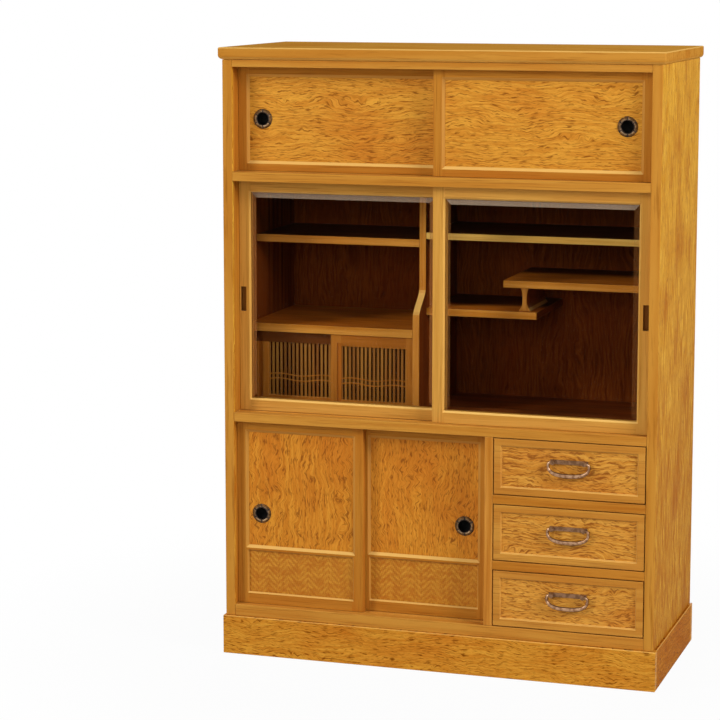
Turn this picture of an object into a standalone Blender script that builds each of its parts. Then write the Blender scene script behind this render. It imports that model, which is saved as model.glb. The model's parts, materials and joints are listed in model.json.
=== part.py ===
"""A Japanese tea cabinet: a case on a plinth, three storeys of sliding doors, a display bay with
staggered shelves and a small lattice cupboard, and three drawers with bail handles.

Metres, +Z up. The front faces -Y, and the origin lies on the floor under the middle of the object.
"""

import math

import bmesh
import bpy
from mathutils import Vector

# Case: widths and depths
CASE_WIDTH = 0.896
CASE_DEPTH = 0.393
SIDE_THICK = 0.020
TOP_OVERHANG = 0.007
PLINTH_PROUD = 0.005
PLINTH_THICK = 0.018
BACK_INSET = 0.014
BACK_THICK = 0.009

# Case: heights, stacked from the floor up
PLINTH_HEIGHT = 0.080
BOTTOM_THICK = 0.024
LOWER_OPENING = 0.384
DIVIDER_THICK = 0.0185
DISPLAY_OPENING = 0.475
UPPER_OPENING = 0.211
HEAD_RAIL_HEIGHT = 0.015
TOP_THICK = 0.024

# Case: joinery
FIT = 0.0003
HOUSING_DEPTH = 0.006
HOUSING_SETBACK = 0.014
HEAD_RAIL_DEPTH = 0.070
TOP_LOWER_ROUND = 0.008
TOP_UPPER_ROUND = 0.002
PLINTH_ROUND = 0.0015

# Lower storey: the partition between the doors and the drawers
PARTITION_THICK = 0.017
DRAWER_BAY_WIDTH = 0.308

# Sliding doors
DOOR_SETBACK = 0.018
DOOR_THICK = 0.016
TRACK_GAP = 0.0025
RUN_GAP = 0.0005
TONGUE_THICK = 0.008
TONGUE_LOW = 0.0027
TONGUE_HIGH = 0.005
GROOVE_LOW = 0.003
GROOVE_HIGH = 0.0075
GROOVE_SIDE_GAP = 0.0004
PANEL_GROOVE = 0.005
PANEL_THICK = 0.006
PANEL_SETBACK = 0.005
EDGE_BEVEL = 0.0065
UPPER_OVERLAP = 0.022
UPPER_STILE = 0.024
UPPER_RAIL = 0.0215
GLASS_OVERLAP = 0.022
GLASS_STILE = 0.025
GLASS_RAIL = 0.026
GLASS_THICK = 0.005
GLASS_BEVEL = 0.016
GLASS_BEVEL_DROP = 0.002
GLASS_EDGE_BEVEL = 0.004
LOWER_OVERLAP = 0.014
LOWER_STILE = 0.024
LOWER_RAIL = 0.025
LOWER_MIDDLE_RAIL = 0.014
WICKER_HEIGHT = 0.085
WICKER_THICK = 0.005

# Finger slots in the glass doors
SLOT_WIDTH = 0.011
SLOT_HEIGHT = 0.050
SLOT_DEPTH = 0.010
SLOT_FROM_EDGE = 0.0085
SLOT_BELOW_MIDDLE = 0.007

# Round pulls
PULL_RADIUS = 0.020
PULL_FROM_EDGE = 0.051
PULL_PROUD = 0.0025
PULL_RIM_RADIUS = 0.0135
CUP_RADIUS = 0.0118
CUP_DEPTH = 0.0065
CUP_WALL = 0.0012
LOWER_PULL_BELOW_MIDDLE = 0.051

# Display bay
FLOOR_SETBACK = 0.090
UPPER_SHELF_SETBACK = 0.137
BAY_PARTITION_THICK = 0.014
BAY_PARTITION_X = -0.067
CURVE_BOTTOM = 0.199
CURVE_HEIGHT = 0.057
CURVE_STEPS = 10
CUPBOARD_HEIGHT = 0.157
CUPBOARD_TOP_THICK = 0.017
LEFT_SHELF_HEIGHT = 0.338
LEFT_SHELF_THICK = 0.0155
RIGHT_SHELF_HEIGHT = 0.355
RIGHT_SHELF_THICK = 0.0135
STAGGER_SETBACK = 0.140
STAGGER_THICK = 0.0145
HIGH_SHELF_HEIGHT = 0.262
HIGH_SHELF_LENGTH = 0.326
LOW_SHELF_HEIGHT = 0.199
SHELF_OVERLAP = 0.0696
STRUT_WAIST = 0.009
STRUT_TOP = 0.018
STRUT_FOOT = 0.026
STRUT_FROM_END = 0.028
STRUT_DEPTH = 0.150
STRUT_SETBACK = 0.012
STRUT_STEPS = 8

# Lattice cupboard doors
SILL_THICK = 0.006
SILL_DEPTH = 0.030
LATTICE_SETBACK = 0.004
LATTICE_THICK = 0.010
LATTICE_TRACK_GAP = 0.002
LATTICE_OVERLAP = 0.016
LATTICE_MEETING_SHIFT = 0.0085
LATTICE_STILE = 0.0145
LATTICE_WALL_STILE = 0.037
LATTICE_MEETING_STILE = 0.0225
LATTICE_FOOT_RAIL = 0.016
LATTICE_HEAD_RAIL = 0.024
LATTICE_STRIP_FROM_EDGE = 0.0135
LATTICE_STRIP_WIDTH = 0.0095
LATTICE_STRIP_DEPTH = 0.0025
LATTICE_STRIP_PAST_WINDOW = 0.006
LATTICE_TONGUE_THICK = 0.005
LATTICE_TONGUE_LOW = 0.0022
LATTICE_TONGUE_HIGH = 0.004
LATTICE_GROOVE_LOW = 0.0025
LATTICE_GROOVE_HIGH = 0.006
SLAT_COUNT = 15
SLAT_WIDTH = 0.0050
SLAT_THICK = 0.003
SLAT_TENON = 0.004
WAVE_HEIGHT = 0.0022
WAVE_THICK = 0.0016
WAVE_RISE = 0.0022
WAVE_SPACING = 0.0105
WAVE_ABOVE_SILL = 0.048
WAVE_TURNS = 1.5
WAVE_STEPS = 24

# Drawers
DRAWER_GAP = 0.002
DRAWER_SETBACK = 0.001
DRAWER_SHELF_THICK = 0.018
DRAWER_FRONT_THICK = 0.020
DRAWER_BORDER = 0.016
DRAWER_FIELD_DROP = 0.0040
DRAWER_FIELD_BEVEL = 0.004
DRAWER_SIDE_GAP = 0.0015
DRAWER_SIDE_THICK = 0.010
DRAWER_SIDE_HEIGHT = 0.085
DRAWER_BACK_GAP = 0.034
DRAWER_BOTTOM_THICK = 0.005
DRAWER_BOTTOM_LIFT = 0.008
DRAWER_BOTTOM_TENON = 0.004

# Bail handles
PLATE_PAST_POST = 0.006
PLATE_HEIGHT = 0.0085
PLATE_THICK = 0.0020
HANDLE_ABOVE_MIDDLE = 0.016
POST_RADIUS = 0.0048
POST_REACH = 0.0100
POST_SPACING = 0.064
BAIL_PAST_POST = 0.012
BAIL_DROP = 0.029
BAIL_ROD_RADIUS = 0.0027
BAIL_END_INSET = 0.0035
BAIL_HOLE_GAP = 0.0004
BAIL_CORNER = 0.006
BAIL_STEPS = 14
BAIL_FULLNESS = 2.6

ROUND_STEPS = 32

# Heights that follow from the stack
BOTTOM_LOW = PLINTH_HEIGHT + FIT
LOWER_FLOOR = PLINTH_HEIGHT + BOTTOM_THICK
LOWER_CEILING = LOWER_FLOOR + LOWER_OPENING
DISPLAY_FLOOR = LOWER_CEILING + DIVIDER_THICK
DISPLAY_CEILING = DISPLAY_FLOOR + DISPLAY_OPENING
UPPER_FLOOR = DISPLAY_CEILING + DIVIDER_THICK
UPPER_CEILING = UPPER_FLOOR + UPPER_OPENING
CASE_TOP = UPPER_CEILING + HEAD_RAIL_HEIGHT
TOTAL_HEIGHT = CASE_TOP + TOP_THICK

# Places that follow from the widths and depths
INNER_HALF = CASE_WIDTH / 2 - SIDE_THICK
DRAWER_BAY_LEFT = INNER_HALF - DRAWER_BAY_WIDTH
LOWER_DOORS_RIGHT = DRAWER_BAY_LEFT - PARTITION_THICK
PLATE_WIDTH = POST_SPACING + 2 * PLATE_PAST_POST
BAIL_WIDTH = POST_SPACING + 2 * BAIL_PAST_POST
POST_AXIS = PLATE_THICK + POST_REACH - POST_RADIUS
HANDLE_REACH = PLATE_THICK + POST_REACH + FIT - DRAWER_SETBACK - DRAWER_FIELD_DROP
FRONT_REACH = max(TOP_OVERHANG, PLINTH_PROUD, HANDLE_REACH)
FRONT = (FRONT_REACH - CASE_DEPTH) / 2
REAR = FRONT + CASE_DEPTH
BACK_FACE = REAR - BACK_INSET - BACK_THICK
SHELF_REAR = BACK_FACE - FIT
BAY_RIGHT = BAY_PARTITION_X + BAY_PARTITION_THICK / 2
RIGHT_BAY_WIDTH = INNER_HALF - BAY_RIGHT - 2 * FIT
LOW_SHELF_LENGTH = RIGHT_BAY_WIDTH - HIGH_SHELF_LENGTH + SHELF_OVERLAP
DRAWER_LENGTH = CASE_DEPTH - DRAWER_SETBACK - DRAWER_BACK_GAP - BACK_THICK - BACK_INSET

PART_COLLECTION = "tea_cabinet"
CUTTER_COLLECTION = "tea_cabinet_cutters"

# Finishes: base colour, metallic, roughness
LOOKS = {
    "plain_wood": ((0.52, 0.25, 0.05), 0.0, 0.38),
    "figured_wood": ((0.48, 0.20, 0.04), 0.0, 0.35),
    "inner_wood": ((0.30, 0.14, 0.05), 0.0, 0.50),
    "wicker": ((0.50, 0.26, 0.07), 0.0, 0.55),
    "glass": ((0.85, 0.92, 0.90), 0.0, 0.03),
    "dark_metal": ((0.10, 0.075, 0.055), 0.9, 0.40),
    "bronze": ((0.42, 0.29, 0.20), 0.9, 0.35),
}


def clear_scene():
    for old in list(bpy.data.objects):
        bpy.data.objects.remove(old, do_unlink=True)


def new_collection(name):
    collection = bpy.data.collections.new(name)
    bpy.context.scene.collection.children.link(collection)
    return collection


def give_finish(obj, look):
    colour, metallic, roughness = LOOKS[look]
    material = bpy.data.materials.new(obj.name + "_" + look)
    material.use_nodes = True
    shader = material.node_tree.nodes["Principled BSDF"]
    shader.inputs["Base Color"].default_value = (*colour, 1.0)
    shader.inputs["Metallic"].default_value = metallic
    shader.inputs["Roughness"].default_value = roughness
    obj.data.materials.append(material)


def add_object(name, data, look, location=(0, 0, 0)):
    """Puts new data in the scene: a part when it has a look, or else a hidden cutter."""
    obj = bpy.data.objects.new(name, data)
    obj.location = location
    if look:
        bpy.data.collections[PART_COLLECTION].objects.link(obj)
        give_finish(obj, look)
    else:
        bpy.data.collections[CUTTER_COLLECTION].objects.link(obj)
        obj.hide_render = True
        obj.display_type = "WIRE"
    return obj


def mesh_from(name, mesh_builder):
    mesh = bpy.data.meshes.new(name)
    bmesh.ops.recalc_face_normals(mesh_builder, faces=mesh_builder.faces[:])
    mesh_builder.to_mesh(mesh)
    mesh_builder.free()
    return mesh


def box_builder(x, y, z):
    """A cube scaled to three (low, high) ranges, about its own middle, and that middle."""
    ranges = (x, y, z)
    size = Vector([high - low for low, high in ranges])
    middle = Vector([(low + high) / 2 for low, high in ranges])
    builder = bmesh.new()
    bmesh.ops.create_cube(builder, size=1.0)
    bmesh.ops.scale(builder, vec=size, verts=builder.verts[:])
    return builder, middle


def box(name, x, y, z, look=None):
    builder, middle = box_builder(x, y, z)
    return add_object(name, mesh_from(name, builder), look, middle)


def rounded_board(name, x, y, z, look, roundings):
    """A box whose edges are rounded: roundings pairs a test of an edge's two ends with a radius."""
    builder, middle = box_builder(x, y, z)
    for test, radius, steps in roundings:
        edges = [edge for edge in builder.edges if all(test(vert.co) for vert in edge.verts)]
        bmesh.ops.bevel(
            builder, geom=edges, offset=radius, segments=steps, profile=0.5, affect="EDGES"
        )
    return add_object(name, mesh_from(name, builder), look, middle)


def prism(name, axis, outline, start, end, look=None):
    """An outline extruded along X, Y or Z. Its points are the other two coordinates in order."""
    along = "XYZ".index(axis)
    builder = bmesh.new()
    corners = []
    for first, second in outline:
        point = [first, second]
        point.insert(along, start)
        corners.append(builder.verts.new(point))
    face = builder.faces.new(corners)
    grown = bmesh.ops.extrude_face_region(builder, geom=[face])
    moved = [item for item in grown["geom"] if isinstance(item, bmesh.types.BMVert)]
    travel = Vector((0, 0, 0))
    travel[along] = end - start
    bmesh.ops.translate(builder, vec=travel, verts=moved)
    return add_object(name, mesh_from(name, builder), look)


def tapered_opening(name, x, z, front, back, spread):
    """A cutter for a window whose edge slopes: it is wider by spread all round at the front."""
    builder, middle = box_builder(x, (front, back), z)
    for vert in builder.verts:
        if vert.co.y < 0:
            vert.co.x += math.copysign(spread, vert.co.x)
            vert.co.z += math.copysign(spread, vert.co.z)
    return add_object(name, mesh_from(name, builder), None, middle)


def cylinder(name, axis, centre, radius, length, look=None, steps=ROUND_STEPS):
    """A cylinder along X or Y, about the given middle point."""
    builder = bmesh.new()
    bmesh.ops.create_cone(
        builder, cap_ends=True, segments=steps, radius1=radius, radius2=radius, depth=length
    )
    obj = add_object(name, mesh_from(name, builder), look, centre)
    obj.rotation_euler = (0, math.pi / 2, 0) if axis == "X" else (math.pi / 2, 0, 0)
    return obj


def cut(target, cutter, operation="DIFFERENCE"):
    modifier = target.modifiers.new(cutter.name, "BOOLEAN")
    modifier.operation = operation
    modifier.object = cutter


def hang_on(carrier_name, place, pieces):
    """Parents pieces, and what cuts them, to an empty that stands where their joint is."""
    carrier = bpy.data.objects.new(carrier_name, None)
    carrier.location = place
    bpy.data.collections[PART_COLLECTION].objects.link(carrier)
    bpy.context.view_layer.update()
    family = list(pieces)
    for piece in pieces:
        family += [modifier.object for modifier in piece.modifiers if modifier.type == "BOOLEAN"]
    for piece in family:
        piece.parent = carrier
        piece.matrix_parent_inverse = carrier.matrix_world.inverted()
    return carrier


# Plinth and case

def build_plinth():
    half = CASE_WIDTH / 2 + PLINTH_PROUD
    front = FRONT - PLINTH_PROUD
    height = (0, PLINTH_HEIGHT)
    inner = (front + PLINTH_THICK + FIT, REAR - PLINTH_THICK - FIT)

    def upper_front(point):
        return point.z > 0 and point.y < 0

    def upper_left(point):
        return point.z > 0 and point.x < 0

    def upper_right(point):
        return point.z > 0 and point.x > 0

    front_range = (front, front + PLINTH_THICK)
    rounding = [(upper_front, PLINTH_ROUND, 2)]
    rounded_board("plinth_front", (-half, half), front_range, height, "figured_wood", rounding)
    rounding = [(upper_left, PLINTH_ROUND, 2)]
    rounded_board("plinth_left", (-half, PLINTH_THICK - half), inner, height, "figured_wood", rounding)
    rounding = [(upper_right, PLINTH_ROUND, 2)]
    rounded_board("plinth_right", (half - PLINTH_THICK, half), inner, height, "figured_wood", rounding)
    box("plinth_back", (-half, half), (REAR - PLINTH_THICK, REAR), height, "inner_wood")


def housed_board(name, low, high, look):
    """A board across the case, with tongues that stop short of the front and sit in the sides."""
    shoulder = INNER_HALF - FIT
    tongue = INNER_HALF + HOUSING_DEPTH - FIT
    tongue_front = FRONT + HOUSING_SETBACK
    outline = [
        (-shoulder, FRONT),
        (shoulder, FRONT),
        (shoulder, tongue_front),
        (tongue, tongue_front),
        (tongue, SHELF_REAR),
        (-tongue, SHELF_REAR),
        (-tongue, tongue_front),
        (-shoulder, tongue_front),
    ]
    return prism(name, "Z", outline, low, high, look)


def build_side(name, direction):
    """One side board, with housings for the three boards and a groove for the back panel."""
    outer = direction * CASE_WIDTH / 2
    inner = direction * INNER_HALF
    x_range = (min(outer, inner), max(outer, inner))
    side = box(name, x_range, (FRONT, REAR), (BOTTOM_LOW, CASE_TOP - FIT), "figured_wood")
    deep = direction * (INNER_HALF + HOUSING_DEPTH)
    shallow = inner - direction * HOUSING_DEPTH
    reach = (min(deep, shallow), max(deep, shallow))
    boards = {
        "bottom": (BOTTOM_LOW, LOWER_FLOOR),
        "lower": (LOWER_CEILING, DISPLAY_FLOOR),
        "upper": (DISPLAY_CEILING, UPPER_FLOOR),
    }
    for board, (low, high) in boards.items():
        housing_front = FRONT + HOUSING_SETBACK - FIT
        low_side = low - FIT if board != "bottom" else low - HOUSING_DEPTH
        cutter = box(f"{name}_{board}_housing", reach, (housing_front, BACK_FACE), (low_side, high + FIT))
        cut(side, cutter)
    back_groove = (BACK_FACE - FIT, BACK_FACE + BACK_THICK + FIT)
    whole_height = (BOTTOM_LOW - HOUSING_DEPTH, CASE_TOP + HOUSING_DEPTH)
    cut(side, box(f"{name}_back_groove", reach, back_groove, whole_height))


def track_faces(setback, thick, gap):
    """The front and back face of the front and of the rear door of a pair, as depths along Y."""
    front = FRONT + setback
    rear = front + thick + gap
    return {"front": (front, front + thick), "rear": (rear, rear + thick)}


def cut_tracks(board, label, tracks, tongue, x, z):
    """Cuts the two grooves that a pair of sliding doors runs in."""
    for track, (face, back) in tracks.items():
        middle = (face + back) / 2
        half = tongue / 2 + GROOVE_SIDE_GAP
        cut(board, box(f"{board.name}_{label}_{track}", x, (middle - half, middle + half), z))


def build_case():
    tracks = track_faces(DOOR_SETBACK, DOOR_THICK, TRACK_GAP)
    across = (-INNER_HALF, INNER_HALF)
    lower_across = (-INNER_HALF, LOWER_DOORS_RIGHT)
    spare = HOUSING_DEPTH

    def above(level):
        return (level, level + GROOVE_HIGH)

    def below(level):
        return (level - GROOVE_LOW, level)

    bottom = housed_board("bottom_board", BOTTOM_LOW, LOWER_FLOOR, "plain_wood")
    low, high = below(LOWER_FLOOR)
    cut_tracks(bottom, "sill", tracks, TONGUE_THICK, lower_across, (low, high + spare))

    lower = housed_board("lower_divider", LOWER_CEILING, DISPLAY_FLOOR, "plain_wood")
    low, high = above(LOWER_CEILING)
    cut_tracks(lower, "lintel", tracks, TONGUE_THICK, lower_across, (low - spare, high))
    low, high = below(DISPLAY_FLOOR)
    cut_tracks(lower, "sill", tracks, TONGUE_THICK, across, (low, high + spare))

    upper = housed_board("upper_divider", DISPLAY_CEILING, UPPER_FLOOR, "plain_wood")
    low, high = above(DISPLAY_CEILING)
    cut_tracks(upper, "lintel", tracks, TONGUE_THICK, across, (low - spare, high))
    low, high = below(UPPER_FLOOR)
    cut_tracks(upper, "sill", tracks, TONGUE_THICK, across, (low, high + spare))

    rail_ends = (-INNER_HALF + FIT, INNER_HALF - FIT)
    rail_depth = (FRONT, FRONT + HEAD_RAIL_DEPTH)
    head = box("head_rail", rail_ends, rail_depth, (UPPER_CEILING, CASE_TOP - FIT), "plain_wood")
    low, high = above(UPPER_CEILING)
    cut_tracks(head, "lintel", tracks, TONGUE_THICK, across, (low - spare, high))

    build_side("left_side", -1)
    build_side("right_side", 1)

    back_half = INNER_HALF + HOUSING_DEPTH - FIT
    back_range = (BACK_FACE, BACK_FACE + BACK_THICK)
    back_height = (BOTTOM_LOW, CASE_TOP - FIT)
    box("back_panel", (-back_half, back_half), back_range, back_height, "inner_wood")

    partition_x = (LOWER_DOORS_RIGHT, DRAWER_BAY_LEFT)
    partition_z = (LOWER_FLOOR + FIT, LOWER_CEILING - FIT)
    partition = box("lower_partition", partition_x, (FRONT, SHELF_REAR), partition_z, "plain_wood")
    for name, level in (("drawer_shelf_lower", 1), ("drawer_shelf_upper", 2)):
        low, high = drawer_shelf_range(level)
        ends = (DRAWER_BAY_LEFT - HOUSING_DEPTH + FIT, INNER_HALF - FIT)
        shoulder = DRAWER_BAY_LEFT + FIT
        outline = [
            (shoulder, FRONT),
            (ends[1], FRONT),
            (ends[1], SHELF_REAR),
            (ends[0], SHELF_REAR),
            (ends[0], FRONT + HOUSING_SETBACK),
            (shoulder, FRONT + HOUSING_SETBACK),
        ]
        prism(name, "Z", outline, low, high, "plain_wood")
        housing_x = (DRAWER_BAY_LEFT - HOUSING_DEPTH, DRAWER_BAY_LEFT + HOUSING_DEPTH)
        housing_y = (FRONT + HOUSING_SETBACK - FIT, REAR)
        housing_z = (low - FIT, high + FIT)
        cut(partition, box(f"{name}_housing", housing_x, housing_y, housing_z))

    build_top()


def build_top():
    half = CASE_WIDTH / 2 + TOP_OVERHANG

    def lower_edges(point):
        return point.z < 0

    def upper_edges(point):
        return point.z > 0

    roundings = [
        (lower_edges, TOP_LOWER_ROUND, 4),
        (upper_edges, TOP_UPPER_ROUND, 2),
    ]
    # The board is made deeper than it is and cut off at the rear, so that its back edge is square.
    depth = (FRONT - TOP_OVERHANG, REAR + TOP_THICK)
    height = (CASE_TOP, TOTAL_HEIGHT)
    top = rounded_board("top_board", (-half, half), depth, height, "figured_wood", roundings)
    beyond = (REAR, REAR + 2 * TOP_THICK)
    around = (-half - TOP_THICK, half + TOP_THICK)
    trim = box("top_board_trim", around, beyond, (CASE_TOP - TOP_THICK, TOTAL_HEIGHT + TOP_THICK))
    cut(top, trim)


# Sliding doors

def door_ranges(x, overlap, shift=0.0):
    """The two doors of a pair fill the opening and overlap in the middle, or to the right of it by a shift."""
    width = (x[1] - x[0] - 2 * RUN_GAP + overlap) / 2
    left = (x[0] + RUN_GAP, x[0] + RUN_GAP + width + shift)
    right = (x[1] - RUN_GAP - width + shift, x[1] - RUN_GAP)
    return {"left": left, "right": right}


def door_frame(name, x, y, z, tongue, low, high, look):
    """A frame blank: a slab with a tongue along its foot and its head."""
    middle = (y[0] + y[1]) / 2
    near = middle - tongue / 2
    far = middle + tongue / 2
    foot = z[0] + RUN_GAP
    head = z[1] - RUN_GAP
    outline = [
        (y[0], foot),
        (near, foot),
        (near, z[0] - low),
        (far, z[0] - low),
        (far, foot),
        (y[1], foot),
        (y[1], head),
        (far, head),
        (far, z[1] + high),
        (near, z[1] + high),
        (near, head),
        (y[0], head),
    ]
    return prism(name, "X", outline, x[0], x[1], look)


def open_window(frame, label, x, z, y, panel_front, panel_thick, bevel):
    """Cuts a window with sloping front edges, and round it the groove that holds a panel."""
    slope = tapered_opening(f"{frame.name}_{label}_slope", x, z, y[0], panel_front, bevel)
    through = box(f"{frame.name}_{label}_window", x, (panel_front - FIT, y[1] + PANEL_GROOVE), z)
    groove_x = (x[0] - PANEL_GROOVE, x[1] + PANEL_GROOVE)
    groove_z = (z[0] - PANEL_GROOVE, z[1] + PANEL_GROOVE)
    groove_y = (panel_front - FIT, panel_front + panel_thick + FIT)
    groove = box(f"{frame.name}_{label}_groove", groove_x, groove_y, groove_z)
    for cutter in (slope, through, groove):
        cut(frame, cutter)


def panel_ranges(x, z):
    reach = PANEL_GROOVE - FIT
    return (x[0] - reach, x[1] + reach), (z[0] - reach, z[1] + reach)


def fit_pull(name, panel, x, panel_front, z):
    """A turned cup with a flange, let into a round hole in the panel."""
    outer = CUP_RADIUS + CUP_WALL
    hole_length = 4 * PANEL_THICK
    centre = (x, panel_front, z)
    cut(panel, cylinder(f"{name}_hole", "Y", centre, outer + FIT, hole_length))
    profile = [
        (0.0, -CUP_DEPTH),
        (CUP_RADIUS, -CUP_DEPTH),
        (CUP_RADIUS, PULL_PROUD - CUP_WALL),
        (PULL_RIM_RADIUS, PULL_PROUD),
        (PULL_RADIUS - CUP_WALL, PULL_PROUD - CUP_WALL / 2),
        (PULL_RADIUS, FIT + CUP_WALL / 2),
        (PULL_RADIUS - CUP_WALL / 2, FIT),
        (outer, FIT),
        (outer, -CUP_DEPTH - CUP_WALL),
        (0.0, -CUP_DEPTH - CUP_WALL),
    ]
    mesh = bpy.data.meshes.new(name)
    points = [(radius, 0, height) for radius, height in profile]
    mesh.from_pydata(points, [(i, i + 1) for i in range(len(points) - 1)], [])
    pull = add_object(name, mesh, "dark_metal", centre)
    pull.rotation_euler = (math.pi / 2, 0, 0)
    screw = pull.modifiers.new("turned", "SCREW")
    screw.steps = ROUND_STEPS
    screw.render_steps = ROUND_STEPS
    screw.use_merge_vertices = True
    screw.merge_threshold = 0.00001
    screw.use_smooth_shade = True
    return pull


def wood_door(name, side, x, y, z, stile, rail, wicker):
    """A frame-and-panel door. The lower ones have a middle rail and a wicker panel below it."""
    frame = door_frame(f"{name}_frame", x, y, z, TONGUE_THICK, TONGUE_LOW, TONGUE_HIGH, "plain_wood")
    window_x = (x[0] + stile, x[1] - stile)
    panel_front = y[0] + PANEL_SETBACK
    window_low = z[0] + rail
    pieces = [frame]
    if wicker:
        wicker_z = (window_low, window_low + WICKER_HEIGHT)
        open_window(frame, "wicker", window_x, wicker_z, y, panel_front, WICKER_THICK, EDGE_BEVEL / 2)
        board_x, board_z = panel_ranges(window_x, wicker_z)
        board_y = (panel_front, panel_front + WICKER_THICK)
        pieces.append(box(f"{name}_wicker", board_x, board_y, board_z, "wicker"))
        window_low = wicker_z[1] + LOWER_MIDDLE_RAIL
    window_z = (window_low, z[1] - rail)
    open_window(frame, "panel", window_x, window_z, y, panel_front, PANEL_THICK, EDGE_BEVEL)
    board_x, board_z = panel_ranges(window_x, window_z)
    panel = box(f"{name}_panel", board_x, (panel_front, panel_front + PANEL_THICK), board_z, "figured_wood")
    pieces.append(panel)
    pull_x = x[0] + PULL_FROM_EDGE if side == "left" else x[1] - PULL_FROM_EDGE
    pull_z = (window_z[0] + window_z[1]) / 2 - (LOWER_PULL_BELOW_MIDDLE if wicker else 0)
    pieces.append(fit_pull(f"{name}_pull", panel, pull_x, panel_front, pull_z))
    hang_on(name, (x[0], y[0], z[0]), pieces)


def glass_door(name, side, x, y, z):
    """A frame round a pane whose front edge is ground to a slope, with a finger slot in the stile."""
    frame = door_frame(f"{name}_frame", x, y, z, TONGUE_THICK, TONGUE_LOW, TONGUE_HIGH, "plain_wood")
    window_x = (x[0] + GLASS_STILE, x[1] - GLASS_STILE)
    window_z = (z[0] + GLASS_RAIL, z[1] - GLASS_RAIL)
    pane_front = y[0] + PANEL_SETBACK
    open_window(frame, "pane", window_x, window_z, y, pane_front, GLASS_THICK, GLASS_EDGE_BEVEL)
    slot_x = x[0] + SLOT_FROM_EDGE if side == "left" else x[1] - SLOT_FROM_EDGE
    slot_z = (z[0] + z[1]) / 2 - SLOT_BELOW_MIDDLE
    slot_width = (slot_x - SLOT_WIDTH / 2, slot_x + SLOT_WIDTH / 2)
    slot_height = (slot_z - SLOT_HEIGHT / 2, slot_z + SLOT_HEIGHT / 2)
    slot_depth = (y[0] - SLOT_DEPTH, y[0] + SLOT_DEPTH)
    cut(frame, box(f"{name}_finger_slot", slot_width, slot_depth, slot_height))

    pane_x, pane_z = panel_ranges(window_x, window_z)
    pane_y = (pane_front + GLASS_BEVEL_DROP, pane_front + GLASS_THICK)
    builder, middle = box_builder(pane_x, pane_y, pane_z)
    front_faces = [face for face in builder.faces if face.normal.y < -0.5]
    bevel = PANEL_GROOVE + GLASS_BEVEL
    bmesh.ops.inset_individual(builder, faces=front_faces, thickness=bevel, depth=GLASS_BEVEL_DROP)
    pane = add_object(f"{name}_pane", mesh_from(f"{name}_pane", builder), "glass", middle)
    hang_on(name, (x[0], y[0], z[0]), [frame, pane])


def lattice_door(name, x, y, z, left_stile):
    """A small frame filled with upright slats, which two wavy strips tie together. A long
    shallow strip is sunk in the left stile.
    """
    frame = door_frame(
        f"{name}_frame", x, y, z, LATTICE_TONGUE_THICK, LATTICE_TONGUE_LOW, LATTICE_TONGUE_HIGH, "plain_wood"
    )
    window_x = (x[0] + left_stile, x[1] - LATTICE_STILE)
    window_z = (z[0] + LATTICE_FOOT_RAIL, z[1] - LATTICE_HEAD_RAIL)
    beyond = (y[0] - LATTICE_THICK, y[1] + LATTICE_THICK)
    cut(frame, box(f"{name}_window", window_x, beyond, window_z))
    strip_left = x[0] + LATTICE_STRIP_FROM_EDGE
    strip_x = (strip_left, strip_left + LATTICE_STRIP_WIDTH)
    strip_y = (y[0] - LATTICE_STRIP_DEPTH, y[0] + LATTICE_STRIP_DEPTH)
    strip_z = (window_z[0] - LATTICE_STRIP_PAST_WINDOW, window_z[1] + LATTICE_STRIP_PAST_WINDOW)
    cut(frame, box(f"{name}_sunk_strip", strip_x, strip_y, strip_z))
    middle = (y[0] + y[1]) / 2
    slat_y = (middle - SLAT_THICK / 2, middle + SLAT_THICK / 2)
    groove_y = (slat_y[0] - FIT, slat_y[1] + FIT)
    groove_z = (window_z[0] - SLAT_TENON - FIT, window_z[1] + SLAT_TENON + FIT)
    cut(frame, box(f"{name}_slat_groove", window_x, groove_y, groove_z))

    inside_x = (window_x[0] + FIT, window_x[1] - FIT)
    comb_z = (window_z[0] - SLAT_TENON, window_z[1] + SLAT_TENON)
    slats = box(f"{name}_slats", inside_x, slat_y, comb_z, "inner_wood")
    pitch = (inside_x[1] - inside_x[0]) / (SLAT_COUNT + 1)
    gap_width = pitch - SLAT_WIDTH
    first_left = inside_x[0] + SLAT_WIDTH / 2
    first_gap = box(f"{name}_slat_gaps", (first_left, first_left + gap_width), beyond, window_z)
    array = first_gap.modifiers.new("repeat", "ARRAY")
    array.count = SLAT_COUNT + 1
    array.use_relative_offset = False
    array.use_constant_offset = True
    array.constant_offset_displace = (pitch, 0, 0)
    cut(slats, first_gap)
    wave_y = (slat_y[0] - WAVE_THICK / 2, slat_y[0] + WAVE_THICK / 2)
    for label, lift in (("lower", 0.0), ("upper", WAVE_SPACING)):
        base = z[0] + WAVE_ABOVE_SILL + lift
        outline = wave_outline(inside_x, base)
        cut(slats, prism(f"{name}_{label}_wave", "Y", outline, wave_y[0], wave_y[1]), "UNION")
    hang_on(name, (x[0], y[0], z[0]), [frame, slats])


def wave_outline(x, base):
    """The outline of a wavy strip between two places, as (x, z) points."""
    lower = []
    for i in range(WAVE_STEPS + 1):
        share = i / WAVE_STEPS
        lift = WAVE_RISE * math.sin(2 * math.pi * WAVE_TURNS * share)
        lower.append((x[0] + (x[1] - x[0]) * share, base + lift))
    upper = [(across, height + WAVE_HEIGHT) for across, height in reversed(lower)]
    return lower + upper


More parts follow.
